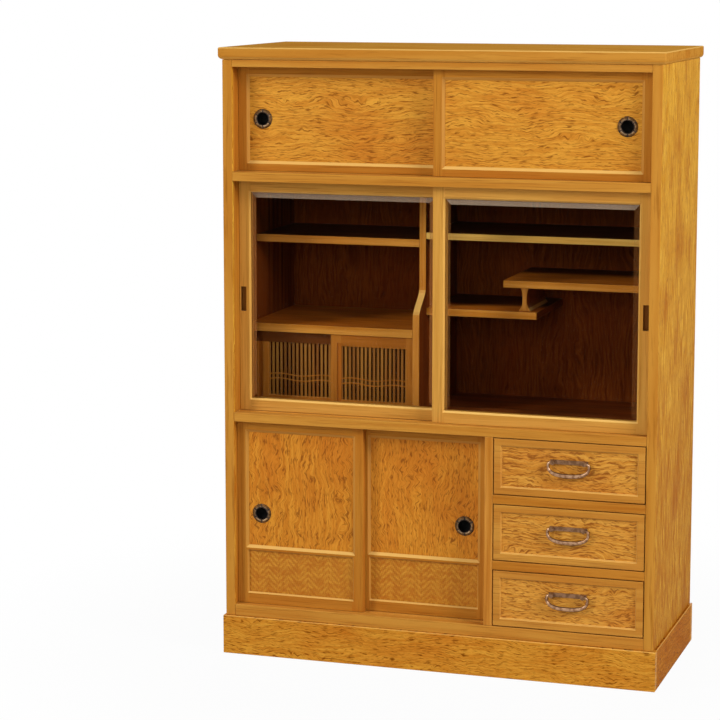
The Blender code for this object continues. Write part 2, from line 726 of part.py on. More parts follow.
def build_doors():
    tracks = track_faces(DOOR_SETBACK, DOOR_THICK, TRACK_GAP)
    whole = (-INNER_HALF, INNER_HALF)
    in_front = {"upper": "right", "glass": "right", "lower": "left"}

    def track_of(storey, side):
        return tracks["front" if in_front[storey] == side else "rear"]

    for side, x in door_ranges(whole, UPPER_OVERLAP).items():
        z = (UPPER_FLOOR, UPPER_CEILING)
        wood_door(f"upper_{side}_door", side, x, track_of("upper", side), z, UPPER_STILE, UPPER_RAIL, False)
    for side, x in door_ranges(whole, GLASS_OVERLAP).items():
        z = (DISPLAY_FLOOR, DISPLAY_CEILING)
        glass_door(f"glass_{side}_door", side, x, track_of("glass", side), z)
    for side, x in door_ranges((-INNER_HALF, LOWER_DOORS_RIGHT), LOWER_OVERLAP).items():
        z = (LOWER_FLOOR, LOWER_CEILING)
        wood_door(f"lower_{side}_door", side, x, track_of("lower", side), z, LOWER_STILE, LOWER_RAIL, True)


# Display bay

def build_display():
    bay_left = BAY_PARTITION_X - BAY_PARTITION_THICK / 2
    floor = DISPLAY_FLOOR + FIT
    low_front = FRONT + FLOOR_SETBACK
    high_front = FRONT + UPPER_SHELF_SETBACK
    curve_low = DISPLAY_FLOOR + CURVE_BOTTOM

    # The front edge steps back in one smooth S between the two depths.
    outline = [(SHELF_REAR, floor), (low_front, floor)]
    for i in range(CURVE_STEPS + 1):
        share = i / CURVE_STEPS
        swing = (1 - math.cos(math.pi * share)) / 2
        outline.append((low_front + (high_front - low_front) * swing, curve_low + CURVE_HEIGHT * share))
    outline += [(high_front, DISPLAY_CEILING - FIT), (SHELF_REAR, DISPLAY_CEILING - FIT)]
    prism("display_partition", "X", outline, bay_left, BAY_RIGHT, "plain_wood")

    left_x = (-INNER_HALF + FIT, bay_left - FIT)
    right_x = (BAY_RIGHT + FIT, INNER_HALF - FIT)
    high_depth = (high_front, SHELF_REAR)
    shelf_low = DISPLAY_FLOOR + LEFT_SHELF_HEIGHT
    left_z = (shelf_low, shelf_low + LEFT_SHELF_THICK)
    box("left_display_shelf", left_x, high_depth, left_z, "plain_wood")
    shelf_low = DISPLAY_FLOOR + RIGHT_SHELF_HEIGHT
    right_z = (shelf_low, shelf_low + RIGHT_SHELF_THICK)
    box("right_display_shelf", right_x, high_depth, right_z, "plain_wood")

    cupboard_low = DISPLAY_FLOOR + CUPBOARD_HEIGHT
    cupboard_z = (cupboard_low, cupboard_low + CUPBOARD_TOP_THICK)
    cupboard_top = box("lattice_cupboard_top", left_x, (low_front, SHELF_REAR), cupboard_z, "plain_wood")
    sill_z = (floor, DISPLAY_FLOOR + SILL_THICK)
    sill_y = (low_front + FIT, low_front + SILL_DEPTH)
    sill = box("lattice_sill", left_x, sill_y, sill_z, "plain_wood")

    tracks = track_faces(FLOOR_SETBACK + LATTICE_SETBACK, LATTICE_THICK, LATTICE_TRACK_GAP)
    doors_x = (-INNER_HALF, bay_left)
    doors_z = (sill_z[1], cupboard_low)
    sill_cut = (sill_z[1] - LATTICE_GROOVE_LOW, sill_z[1] + SILL_THICK)
    cut_tracks(sill, "sill", tracks, LATTICE_TONGUE_THICK, doors_x, sill_cut)
    lintel_cut = (cupboard_low - SILL_THICK, cupboard_low + LATTICE_GROOVE_HIGH)
    cut_tracks(cupboard_top, "lintel", tracks, LATTICE_TONGUE_THICK, doors_x, lintel_cut)
    doors = door_ranges(doors_x, LATTICE_OVERLAP, LATTICE_MEETING_SHIFT)
    lattice_door("lattice_left_door", doors["left"], tracks["rear"], doors_z, LATTICE_WALL_STILE)
    lattice_door("lattice_right_door", doors["right"], tracks["front"], doors_z, LATTICE_MEETING_STILE)

    build_staggered_shelves(right_x)


def build_staggered_shelves(bay_x):
    """A high shelf from the right side and a low one from the partition, tied by a curved strut."""
    front = FRONT + STAGGER_SETBACK
    depth = (front, SHELF_REAR)
    high_low = DISPLAY_FLOOR + HIGH_SHELF_HEIGHT
    high_x = (bay_x[1] - HIGH_SHELF_LENGTH, bay_x[1])
    box("staggered_shelf_high", high_x, depth, (high_low, high_low + STAGGER_THICK), "plain_wood")
    low_low = DISPLAY_FLOOR + LOW_SHELF_HEIGHT
    low_x = (bay_x[0], bay_x[0] + LOW_SHELF_LENGTH)
    box("staggered_shelf_low", low_x, depth, (low_low, low_low + STAGGER_THICK), "plain_wood")

    strut_z = (low_low + STAGGER_THICK + FIT, high_low - FIT)
    middle = low_x[1] - STRUT_FROM_END
    right = []
    for i in range(STRUT_STEPS + 1):
        share = i / STRUT_STEPS
        end = STRUT_FOOT if share < 0.5 else STRUT_TOP
        flare = (2 * abs(share - 0.5)) ** 3
        half = (STRUT_WAIST + (end - STRUT_WAIST) * flare) / 2
        right.append((half, strut_z[0] + (strut_z[1] - strut_z[0]) * share))
    outline = [(middle + half, height) for half, height in right]
    outline += [(middle - half, height) for half, height in reversed(right)]
    strut_front = front + STRUT_SETBACK
    prism("shelf_strut", "Y", outline, strut_front, strut_front + STRUT_DEPTH, "plain_wood")


# Drawers

def drawer_opening_height():
    return (LOWER_OPENING - 2 * DRAWER_SHELF_THICK) / 3


def drawer_floor(level):
    """The height of the board that a drawer runs on. Level 0 is the lowest drawer."""
    return LOWER_FLOOR + level * (drawer_opening_height() + DRAWER_SHELF_THICK)


def drawer_shelf_range(level):
    top = drawer_floor(level)
    return (top - DRAWER_SHELF_THICK, top)


def build_drawer(name, level):
    x = (DRAWER_BAY_LEFT + DRAWER_GAP, INNER_HALF - DRAWER_GAP)
    floor = drawer_floor(level)
    z = (floor + DRAWER_GAP, floor + drawer_opening_height() - DRAWER_GAP)
    face = FRONT + DRAWER_SETBACK
    back_of_front = face + DRAWER_FRONT_THICK
    front = box(f"{name}_front", x, (face, back_of_front), z, "figured_wood")
    field_x = (x[0] + DRAWER_BORDER, x[1] - DRAWER_BORDER)
    field_z = (z[0] + DRAWER_BORDER, z[1] - DRAWER_BORDER)
    field_back = face + DRAWER_FIELD_DROP
    field = tapered_opening(
        f"{name}_field", field_x, field_z, face - DRAWER_FIELD_DROP, field_back, DRAWER_FIELD_BEVEL
    )
    cut(front, field)

    side_x = (DRAWER_BAY_LEFT + DRAWER_SIDE_GAP, INNER_HALF - DRAWER_SIDE_GAP)
    inner_x = (side_x[0] + DRAWER_SIDE_THICK, side_x[1] - DRAWER_SIDE_THICK)
    side_front = back_of_front + FIT
    side_rear = face + DRAWER_LENGTH
    side_z = (floor + FIT, floor + FIT + DRAWER_SIDE_HEIGHT)
    outline = [
        (side_x[0], side_front),
        (inner_x[0], side_front),
        (inner_x[0], side_rear - DRAWER_SIDE_THICK),
        (inner_x[1], side_rear - DRAWER_SIDE_THICK),
        (inner_x[1], side_front),
        (side_x[1], side_front),
        (side_x[1], side_rear),
        (side_x[0], side_rear),
    ]
    case = prism(f"{name}_box", "Z", outline, side_z[0], side_z[1], "inner_wood")
    tenon = DRAWER_BOTTOM_TENON
    groove_x = (inner_x[0] - tenon, inner_x[1] + tenon)
    groove_y = (back_of_front - tenon, side_rear - DRAWER_SIDE_THICK + tenon)
    bottom_low = side_z[0] + DRAWER_BOTTOM_LIFT
    groove_z = (bottom_low, bottom_low + DRAWER_BOTTOM_THICK)
    groove = box(f"{name}_bottom_groove", groove_x, groove_y, groove_z)
    cut(case, groove)
    cut(front, groove)
    bottom_x = (groove_x[0] + FIT, groove_x[1] - FIT)
    bottom_y = (groove_y[0] + FIT, groove_y[1] - FIT)
    bottom_z = (groove_z[0] + FIT, groove_z[1] - FIT)
    bottom = box(f"{name}_bottom", bottom_x, bottom_y, bottom_z, "inner_wood")

    middle_x = (x[0] + x[1]) / 2
    axis_z = (z[0] + z[1]) / 2 + HANDLE_ABOVE_MIDDLE
    plate = build_handle_plate(f"{name}_handle_plate", middle_x, field_back - FIT, axis_z)
    bail = build_bail(f"{name}_bail", middle_x, field_back - FIT - POST_AXIS, axis_z)
    carrier = hang_on(name, (middle_x, face, z[0]), [front, case, bottom, plate])
    bail.parent = carrier
    bail.matrix_parent_inverse = carrier.matrix_world.inverted()


def build_handle_plate(name, x, seat, z):
    """A narrow back plate with two posts, each bored from its outer side for the end of the bail."""
    width = (x - PLATE_WIDTH / 2, x + PLATE_WIDTH / 2)
    height = (z - PLATE_HEIGHT / 2, z + PLATE_HEIGHT / 2)
    plate = box(name, width, (seat - PLATE_THICK, seat), height, "bronze")
    for label, direction in (("left", -1), ("right", 1)):
        post_x = x + direction * POST_SPACING / 2
        length = POST_REACH + PLATE_THICK / 2
        centre = (post_x, seat - PLATE_THICK / 2 - length / 2, z)
        post = cylinder(f"{name}_{label}_post", "Y", centre, POST_RADIUS, length, steps=20)
        cut(plate, post, "UNION")
        depth = POST_RADIUS + BAIL_END_INSET
        hole_x = post_x + direction * (depth / 2 + POST_RADIUS - BAIL_END_INSET)
        hole_radius = BAIL_ROD_RADIUS + BAIL_HOLE_GAP
        hole_centre = (hole_x, seat - POST_AXIS, z)
        hole = cylinder(f"{name}_{label}_hole", "X", hole_centre, hole_radius, depth, steps=16)
        cut(plate, hole)
    return plate


def build_bail(name, x, y, z):
    """A rod bent to a D. Its ends turn inwards into the posts, and its origin is on that axis."""
    half = BAIL_WIDTH / 2 - BAIL_ROD_RADIUS
    drop = BAIL_DROP - BAIL_ROD_RADIUS
    end = POST_SPACING / 2 + POST_RADIUS - BAIL_END_INSET + FIT
    right = [(end, 0.0), (half - BAIL_CORNER, 0.0)]
    for i in range(1, 4):
        turn = math.pi / 2 * i / 4
        right.append((half - BAIL_CORNER + BAIL_CORNER * math.sin(turn), BAIL_CORNER * (math.cos(turn) - 1)))
    for i in range(BAIL_STEPS):
        turn = math.pi / 2 * i / BAIL_STEPS
        across = half * math.cos(turn) ** (2 / BAIL_FULLNESS)
        below = -BAIL_CORNER - (drop - BAIL_CORNER) * math.sin(turn) ** (2 / BAIL_FULLNESS)
        right.append((across, below))
    points = right + [(0.0, -drop)] + [(-across, height) for across, height in reversed(right)]
    curve = bpy.data.curves.new(name, "CURVE")
    curve.dimensions = "3D"
    curve.bevel_depth = BAIL_ROD_RADIUS
    curve.bevel_resolution = 2
    curve.use_fill_caps = True
    spline = curve.splines.new("POLY")
    spline.points.add(len(points) - 1)
    for point, (across, height) in zip(spline.points, points):
        point.co = (across, 0.0, height, 1.0)
    return add_object(name, curve, "bronze", (x, y, z))


def main():
    clear_scene()
    new_collection(PART_COLLECTION)
    new_collection(CUTTER_COLLECTION).hide_render = True
    build_plinth()
    build_case()
    build_doors()
    build_display()
    for level, name in enumerate(("drawer_lower", "drawer_middle", "drawer_upper")):
        build_drawer(name, level)
    bpy.context.view_layer.update()


main()
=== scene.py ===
"""Looks of a Japanese tea cabinet: figured cedar, woven panels, rosette pulls, bails and bevelled glass.

Metres, +Z up. The front faces -Y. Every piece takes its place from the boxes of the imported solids.
"""

import json
import math

import bmesh
import bpy
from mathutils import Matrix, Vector


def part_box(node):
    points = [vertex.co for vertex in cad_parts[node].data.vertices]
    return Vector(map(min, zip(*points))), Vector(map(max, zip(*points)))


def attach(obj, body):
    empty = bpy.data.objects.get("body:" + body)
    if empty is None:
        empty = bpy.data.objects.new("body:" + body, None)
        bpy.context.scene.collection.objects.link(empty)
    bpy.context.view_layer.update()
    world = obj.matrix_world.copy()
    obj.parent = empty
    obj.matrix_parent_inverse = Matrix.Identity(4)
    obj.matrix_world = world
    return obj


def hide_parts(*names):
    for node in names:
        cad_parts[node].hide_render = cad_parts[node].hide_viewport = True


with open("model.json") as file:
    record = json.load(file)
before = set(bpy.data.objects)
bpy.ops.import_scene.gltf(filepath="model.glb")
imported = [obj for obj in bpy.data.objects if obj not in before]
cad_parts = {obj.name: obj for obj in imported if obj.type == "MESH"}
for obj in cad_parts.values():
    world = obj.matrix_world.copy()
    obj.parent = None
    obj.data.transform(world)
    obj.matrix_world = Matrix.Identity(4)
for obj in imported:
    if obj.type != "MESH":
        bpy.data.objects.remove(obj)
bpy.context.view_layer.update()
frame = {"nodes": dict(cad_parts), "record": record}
NODES = frame["nodes"]

# Camera: a long lens, a little to the right of the front and looking slightly down
SENSOR_WIDTH = 36.0
LENS = 121.52
CAMERA_PLACE = (1.3368, -4.7658, 1.4115)
CAMERA_YAW = 18.085
CAMERA_DIP = 7.882
CAMERA_SHIFT_Y = -0.08

# Light: power in watts, size and place in metres
LAMPS = {
    "key": (200.0, 1.6, (-4.2, -3.9, 3.3)),
    "front_fill": (42.0, 1.4, (0.2, -4.4, 1.8)),
    "side_fill": (172.0, 1.6, (3.9, -1.6, 2.7)),
    "back_fill": (110.0, 1.6, (-0.8, 4.4, 2.0)),
}
UNMIRRORED = ("front_fill",)
LIGHT_TARGET = Vector((0.0, 0.0, 0.66))
AMBIENT = 0.06
FLOOR_HALF = 30.0
FLOOR_COLOUR = (0.55, 0.55, 0.55, 1.0)
FLOOR_GLOW = 0.96
FLOOR_FADE = (0.5, 1.3)

# Places read from the solids
INNER_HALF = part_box("right_side")[0].x
DOOR_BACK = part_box("upper_left_door_frame")[1].y
CASE_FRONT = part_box("right_side")[0].y
BACK_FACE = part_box("back_panel")[0].y
CASE_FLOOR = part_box("bottom_board")[0].z
CASE_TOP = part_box("top_board")[0].z


def srgb(red, green, blue):
    """A colour as it looks on a screen, from 0 to 255, as linear light."""
    linear = []
    for value in (red, green, blue):
        share = value / 255
        linear.append(share / 12.92 if share <= 0.04045 else ((share + 0.055) / 1.055) ** 2.4)
    return (*linear, 1.0)


# Woods: light, middle, dark streak, warm cloud
WOODS = {
    "figured": (srgb(220, 156, 54), srgb(200, 130, 38), srgb(126, 66, 6), srgb(196, 112, 28)),
    "drawer": (srgb(220, 158, 64), srgb(200, 132, 44), srgb(130, 66, 12), srgb(194, 112, 32)),
    "warm": (srgb(216, 144, 44), srgb(196, 120, 30), srgb(120, 58, 4), srgb(192, 106, 24)),
    "top": (srgb(230, 170, 74), srgb(216, 150, 56), srgb(166, 98, 24), srgb(208, 134, 44)),
    "side": (srgb(230, 178, 66), srgb(198, 134, 34), srgb(138, 74, 10), srgb(160, 78, 10)),
    "plinth_side": (srgb(196, 124, 34), srgb(176, 102, 22), srgb(112, 52, 4), srgb(174, 92, 14)),
    "plain": (srgb(198, 138, 54), srgb(186, 122, 42), srgb(148, 88, 26), srgb(184, 112, 36)),
    "pale": (srgb(208, 152, 68), srgb(196, 138, 56), srgb(158, 102, 36), srgb(194, 128, 50)),
    "amber": (srgb(188, 124, 42), srgb(174, 108, 32), srgb(138, 78, 18), srgb(174, 100, 26)),
    "rail": (srgb(190, 124, 42), srgb(174, 106, 30), srgb(138, 74, 16), srgb(176, 98, 26)),
    "shelf": (srgb(206, 142, 60), srgb(186, 118, 40), srgb(150, 84, 22), srgb(188, 110, 38)),
    "shelf_pale": (srgb(230, 188, 100), srgb(214, 166, 78), srgb(184, 128, 54), srgb(212, 156, 70)),
    "shelf_warm": (srgb(196, 114, 34), srgb(176, 94, 22), srgb(128, 60, 10), srgb(174, 86, 18)),
    "shelf_dark": (srgb(72, 34, 10), srgb(56, 25, 7), srgb(30, 12, 3), srgb(60, 25, 7)),
    "inside": (srgb(132, 64, 20), srgb(98, 42, 12), srgb(38, 14, 4), srgb(116, 48, 13)),
    "lattice_frame": (srgb(176, 110, 38), srgb(162, 96, 30), srgb(124, 68, 16), srgb(160, 88, 24)),
    "lattice": (srgb(168, 114, 46), srgb(134, 82, 30), srgb(84, 46, 14), srgb(140, 78, 26)),
    "wave": (srgb(190, 122, 42), srgb(170, 100, 28), srgb(132, 68, 12), srgb(174, 94, 22)),
}


class Shader:
    """A node material in the making. Each method adds a node and returns its output."""

    def __init__(self, name):
        self.material = bpy.data.materials.new(name)
        self.material.use_nodes = True
        self.tree = self.material.node_tree
        self.surface = self.tree.nodes["Principled BSDF"]

    def feed(self, socket, value):
        """Links a socket to an output, or sets it to a value."""
        if isinstance(value, bpy.types.NodeSocket):
            self.tree.links.new(value, socket)
        else:
            socket.default_value = value

    def node(self, kind, **settings):
        made = self.tree.nodes.new(kind)
        for key, value in settings.items():
            setattr(made, key, value)
        return made

    def place(self):
        """Where on the piece a point is, in metres."""
        return self.node("ShaderNodeTexCoord").outputs["Object"]

    def normal(self):
        """Which way the surface looks."""
        return self.node("ShaderNodeTexCoord").outputs["Normal"]

    def parts(self, vector):
        made = self.node("ShaderNodeSeparateXYZ")
        self.feed(made.inputs[0], vector)
        return made.outputs[0], made.outputs[1], made.outputs[2]

    def math(self, operation, first, second=0.0):
        made = self.node("ShaderNodeMath", operation=operation)
        self.feed(made.inputs[0], first)
        self.feed(made.inputs[1], second)
        return made.outputs[0]

    def vector(self, operation, first, second):
        made = self.node("ShaderNodeVectorMath", operation=operation)
        self.feed(made.inputs[0], first)
        self.feed(made.inputs[1], second)
        return made.outputs[0]

    def step(self, value, low, high):
        """A smooth rise from 0 at low to 1 at high."""
        made = self.node("ShaderNodeMapRange", interpolation_type="SMOOTHSTEP")
        self.feed(made.inputs["Value"], value)
        self.feed(made.inputs["From Min"], low)
        self.feed(made.inputs["From Max"], high)
        return made.outputs["Result"]

    def noise(self, place, scale=None, detail=2.0, roughness=0.5, output="Fac"):
        """Noise at a place, drawn closer along each axis by a scale."""
        made = self.node("ShaderNodeTexNoise")
        self.feed(made.inputs["Vector"], self.vector("MULTIPLY", place, scale) if scale else place)
        made.inputs["Scale"].default_value = 1.0
        made.inputs["Detail"].default_value = detail
        made.inputs["Roughness"].default_value = roughness
        return made.outputs[output]

    def mix(self, factor, first, second):
        made = self.node("ShaderNodeMix", data_type="RGBA")
        self.feed(made.inputs[0], factor)
        self.feed(made.inputs[6], first)
        self.feed(made.inputs[7], second)
        return made.outputs[2]

    def overlay(self, colour, other, value, low, high, amount):
        """A colour that gives way to another, by an amount at most, as a value rises from low to high."""
        return self.mix(self.math("MULTIPLY", self.step(value, low, high), amount), colour, other)

    def blend(self, factor, first, second):
        """A number between two others."""
        made = self.node("ShaderNodeMix", data_type="FLOAT")
        self.feed(made.inputs[0], factor)
        self.feed(made.inputs[2], first)
        self.feed(made.inputs[3], second)
        return made.outputs[0]

    def grain_space(self, grain, offset):
        """Places in the wood as (along the grain, into the board, across the grain). The grain is named by
        the axes along and across it.
        """
        places = dict(zip("XYZ", self.parts(self.vector("ADD", self.place(), offset))))
        along, across = grain
        into = "XYZ".replace(along, "").replace(across, "")
        made = self.node("ShaderNodeCombineXYZ")
        for socket, axis in zip(made.inputs, (along, into, across)):
            self.feed(socket, places[axis])
        return made.outputs[0]

    def bump(self, height, strength, distance):
        made = self.node("ShaderNodeBump")
        made.inputs["Strength"].default_value = strength
        made.inputs["Distance"].default_value = distance
        self.feed(made.inputs["Height"], height)
        self.feed(self.surface.inputs["Normal"], made.outputs["Normal"])


# Plain wood: how close its marks lie along the grain, into the board and across the grain
PLAIN_DRIFT = (3.0, 3.0, 8.0)
PLAIN_BANDS = (2.0, 40.0, 75.0)
PLAIN_LINES = (9.0, 150.0, 420.0)
PLAIN_CLOUDS = (4.0, 9.0, 14.0)
# How far its lines drift, in metres
DRIFT_REACH = (0.0, 0.004, 0.010)


def plain_grain(shader, grain, offset, wood):
    """Straight-grained wood: its colour and its height."""
    light, middle, dark, warm = WOODS[wood]
    place = shader.grain_space(grain, offset)
    drift = shader.noise(place, PLAIN_DRIFT, output="Color")
    drift = shader.vector("MULTIPLY", shader.vector("SUBTRACT", drift, (0.5, 0.5, 0.5)), DRIFT_REACH)
    bent = shader.vector("ADD", place, drift)
    band = shader.noise(bent, PLAIN_BANDS)
    line = shader.noise(bent, PLAIN_LINES, detail=3.0, roughness=0.6)
    cloud = shader.noise(place, PLAIN_CLOUDS)
    colour = shader.mix(shader.step(band, 0.35, 0.68), light, middle)
    colour = shader.overlay(colour, warm, cloud, 0.45, 0.75, 0.5)
    colour = shader.overlay(colour, dark, line, 0.50, 0.72, 0.6)
    return colour, line


# Figured wood: the same closeness for what bends its rings, and how fast the rings follow across the grain
RING_WANDER = (6.0, 6.0, 15.0)
RING_CURLS = (72.0, 30.0, 40.0)
CURL_PATCHES = (11.0, 9.0, 16.0)
FIGURED_CLOUDS = (6.0, 6.0, 12.0)
RING_RISE = 19.0
STREAK_SCALE = (14.0, 14.0)
DEPTH_SCALE = 60.0
CLOUD_FLECKS = 0.10
FLECK_RISE = 0.14
# Least and most curl, then how close flecks and fine lines lie, each along and across the rings, and the
# level above which a fleck shows
FIGURES = {
    "streaky": (0.03, 0.15, (54.0, 26.0), (72.0, 66.0), 0.53),
    "dashed": (0.05, 0.20, (60.0, 20.0), (80.0, 50.0), 0.49),
    "curly": (0.08, 0.38, (66.0, 18.0), (80.0, 50.0), 0.53),
}


def figured_grain(shader, grain, offset, wood, strength=1.0, figure="streaky"):
    """Wood whose rings wander and curl, with dark flecks that follow them: its colour and its height."""
    light, middle, dark, warm = WOODS[wood]
    least_curl, most_curl, fleck_scale, fine_scale, fleck_level = FIGURES[figure]
    place = shader.grain_space(grain, offset)
    length, depth, across = shader.parts(place)
    wander = shader.noise(place, RING_WANDER, roughness=0.45)
    curl = shader.noise(place, RING_CURLS, detail=1.0)
    patch = shader.noise(place, CURL_PATCHES, detail=1.0)
    curliness = shader.blend(shader.step(patch, 0.38, 0.64), least_curl, most_curl)
    ring = shader.math("ADD", shader.math("MULTIPLY", across, RING_RISE), wander)
    ring = shader.math("ADD", ring, shader.math("MULTIPLY", curl, curliness))

    def follow(along_scale, ring_scale, detail=2.0):
        """Noise in streaks that follow the rings."""
        made = shader.node("ShaderNodeCombineXYZ")
        shader.feed(made.inputs[0], shader.math("MULTIPLY", length, along_scale))
        shader.feed(made.inputs[1], shader.math("MULTIPLY", depth, DEPTH_SCALE))
        shader.feed(made.inputs[2], shader.math("MULTIPLY", ring, ring_scale))
        return shader.noise(made.outputs[0], detail=detail, roughness=0.6)

    streak = follow(*STREAK_SCALE, detail=3.0)
    fleck = follow(*fleck_scale)
    fine = follow(*fine_scale)
    cloud = shader.noise(place, FIGURED_CLOUDS)
    density = shader.math("MULTIPLY", shader.math("SUBTRACT", cloud, 0.5), CLOUD_FLECKS)
    mark = shader.step(shader.math("ADD", fleck, density), fleck_level, fleck_level + FLECK_RISE)
    colour = shader.mix(shader.step(streak, 0.36, 0.64), light, middle)
    colour = shader.overlay(colour, warm, cloud, 0.42, 0.72, 0.55)
    colour = shader.overlay(colour, dark, fine, 0.44, 0.66, 0.30 * strength)
    colour = shader.mix(shader.math("MULTIPLY", mark, 0.85 * strength), colour, dark)
    return colour, shader.math("SUBTRACT", streak, mark)


# Varnish and faces
SATIN = 0.12
# Paler arrises: partly wear, partly a painted highlight
WORN_AND_LIT_ARRIS = srgb(242, 198, 112)
FACING = 0.7
# How far past a place a face still counts as inside the case, in metres
SIDE_MARGIN = 0.0005
BACK_MARGIN = 0.001
FLOOR_MARGIN = 0.002


def varnish(shader, colour, height, gloss=SATIN):
    """A satin varnish over the wood, with paler arrises: partly wear, partly a painted highlight that is
    stronger on arrises that face up.
    """
    x, y, z = shader.parts(shader.normal())
    widest = shader.math("MAXIMUM", shader.math("ABSOLUTE", x), shader.math("ABSOLUTE", y))
    widest = shader.math("MAXIMUM", widest, shader.math("ABSOLUTE", z))
    arris = shader.math("SUBTRACT", 1.0, shader.step(widest, 0.80, 0.97))
    # Painted highlight: arrises that face up take more of the pale colour than the others
    wear_and_highlight = shader.blend(shader.step(z, 0.1, 0.6), 0.16, 0.64)
    colour = shader.mix(shader.math("MULTIPLY", arris, wear_and_highlight), colour, WORN_AND_LIT_ARRIS)
    shader.feed(shader.surface.inputs["Base Color"], colour)
    shader.feed(shader.surface.inputs["Roughness"], shader.blend(height, 0.34, 0.48))
    shader.surface.inputs["Specular IOR Level"].default_value = gloss
    shader.bump(height, 0.25, 0.0003)


def inside_mask(shader, front):
    """1 on the faces that look into the case, from a depth on."""
    x, y, z = shader.parts(shader.place())
    behind = shader.math("GREATER_THAN", y, front)
    before = shader.math("LESS_THAN", y, BACK_FACE + BACK_MARGIN)
    between = shader.math("LESS_THAN", shader.math("ABSOLUTE", x), INNER_HALF + SIDE_MARGIN)
    above = shader.math("GREATER_THAN", z, CASE_FLOOR + FLOOR_MARGIN)
    below = shader.math("LESS_THAN", z, CASE_TOP + SIDE_MARGIN)
    mask = shader.math("MULTIPLY", behind, before)
    for other in (between, above, below):
        mask = shader.math("MULTIPLY", mask, other)
    return mask


def faces_along(shader, axis):
    """1 on the faces that look along an axis, and 0 on the others."""
    turned = shader.math("ABSOLUTE", shader.parts(shader.normal())[axis])
    return shader.math("GREATER_THAN", turned, FACING)


def board(
    name,
    grain,
    offset,
    wood,
    strength=0.0,
    figure="streaky",
    foot=0.0,
    face=None,
    inside=(),
    stains=(),
    front=0.0,
    gloss=SATIN,
):
    """A board of one wood, figured if it has a strength, and warmer towards its foot. Its edges are plain if
    it is figured on one face. Inside the case it may take darker woods, each from a depth on, as painted
    shade.
    A face shade is painted shade too: a darker wood on the faces along one axis, between two distances from
    the board's front.
    """
    shader = Shader(name)
    if strength:
        colour, height = figured_grain(shader, grain, offset, wood, strength, figure)
    else:
        colour, height = plain_grain(shader, grain, offset, wood)
    if foot:
        down = shader.step(shader.parts(shader.place())[2], CASE_TOP, CASE_FLOOR)
        streaky = shader.blend(shader.step(height, 0.40, 0.58), 0.25, 1.0)
        amount = shader.math("MULTIPLY", shader.math("MULTIPLY", down, streaky), foot)
        colour = shader.mix(amount, colour, WOODS[wood][3])
    if face is not None:
        plain, plain_height = plain_grain(shader, grain, offset, "plain")
        on_face = faces_along(shader, face)
        colour = shader.mix(on_face, plain, colour)
        height = shader.blend(on_face, plain_height, height)
    # Painted shade: faces inside the case take darker woods
    for start, inner_wood in inside:
        inner, _ = plain_grain(shader, grain, offset, inner_wood)
        colour = shader.mix(inside_mask(shader, start), colour, inner)
    # Painted shade: a darker wood on faces that lie in shadow, chosen by the axis they look along and by
    # depth
    for axis, shade_wood, start, end in stains:
        shaded, _ = plain_grain(shader, grain, offset, shade_wood)
        depth = shader.step(shader.parts(shader.place())[1], front + start, front + end)
        amount = shader.math("MULTIPLY", faces_along(shader, axis), depth)
        colour = shader.mix(amount, colour, shaded)
    varnish(shader, colour, height, gloss)
    return shader.material


LOG_STEP = (0.37, 0.83, 0.59)


def offset_of(number):
    """Where in the log a board was cut, so that no two boards look alike."""
    return tuple(step * number for step in LOG_STEP)


# How much of a painted shade's colour a frame takes
SHADE_AMOUNT = 0.85
FRAME_GLOSS = 0.06


def frame_wood(name, number, wood, window, box_shades=()):
    """A door frame: upright grain in the stiles, level grain in the rails between them. A box shade is
    painted
    shade: a darker colour that the wood takes between two corners.
    """
    shader = Shader(name)
    upright, upright_height = plain_grain(shader, "ZX", offset_of(number), wood)
    level, level_height = plain_grain(shader, "XZ", offset_of(number), wood)
    across, depth, rise = shader.parts(shader.place())
    reach = shader.math("ABSOLUTE", shader.math("SUBTRACT", across, (window[0] + window[1]) / 2))
    in_stile = shader.math("GREATER_THAN", reach, (window[1] - window[0]) / 2)
    colour = shader.mix(in_stile, level, upright)
    for low, high, shade in box_shades:
        inside = shader.math("GREATER_THAN", depth, low[1])
        for place, axis in ((across, 0), (rise, 2)):
            gap = shader.math("ABSOLUTE", shader.math("SUBTRACT", place, (low[axis] + high[axis]) / 2))
            near = shader.math("LESS_THAN", gap, (high[axis] - low[axis]) / 2)
            inside = shader.math("MULTIPLY", inside, near)
        colour = shader.mix(shader.math("MULTIPLY", inside, SHADE_AMOUNT), colour, shade)
    varnish(shader, colour, shader.blend(in_stile, level_height, upright_height), FRAME_GLOSS)
    return shader.material


DRAWER_FIGURE = 0.95


def drawer_wood(name, number, x, z, border):
    """A drawer front: a figured field in a plain border."""
    shader = Shader(name)
    field, field_height = figured_grain(shader, "XZ", offset_of(number), "drawer", DRAWER_FIGURE, "dashed")
    plain, plain_height = plain_grain(shader, "XZ", offset_of(number), "plain")
    across, _, rise = shader.parts(shader.place())
    outside = None
    for place, (low, high) in ((across, x), (rise, z)):
        reach = shader.math("ABSOLUTE", shader.math("SUBTRACT", place, (low + high) / 2))
        past = shader.math("GREATER_THAN", reach, (high - low) / 2 - border)
        outside = past if outside is None else shader.math("MAXIMUM", outside, past)
    colour = shader.mix(outside, field, plain)
    varnish(shader, colour, shader.blend(outside, field_height, plain_height))
    return shader.material


# Bronze, woven strips and glass
PATINA_SCALE = (150.0, 150.0, 150.0)
PITTING_SCALE = (1500.0, 1500.0, 1500.0)


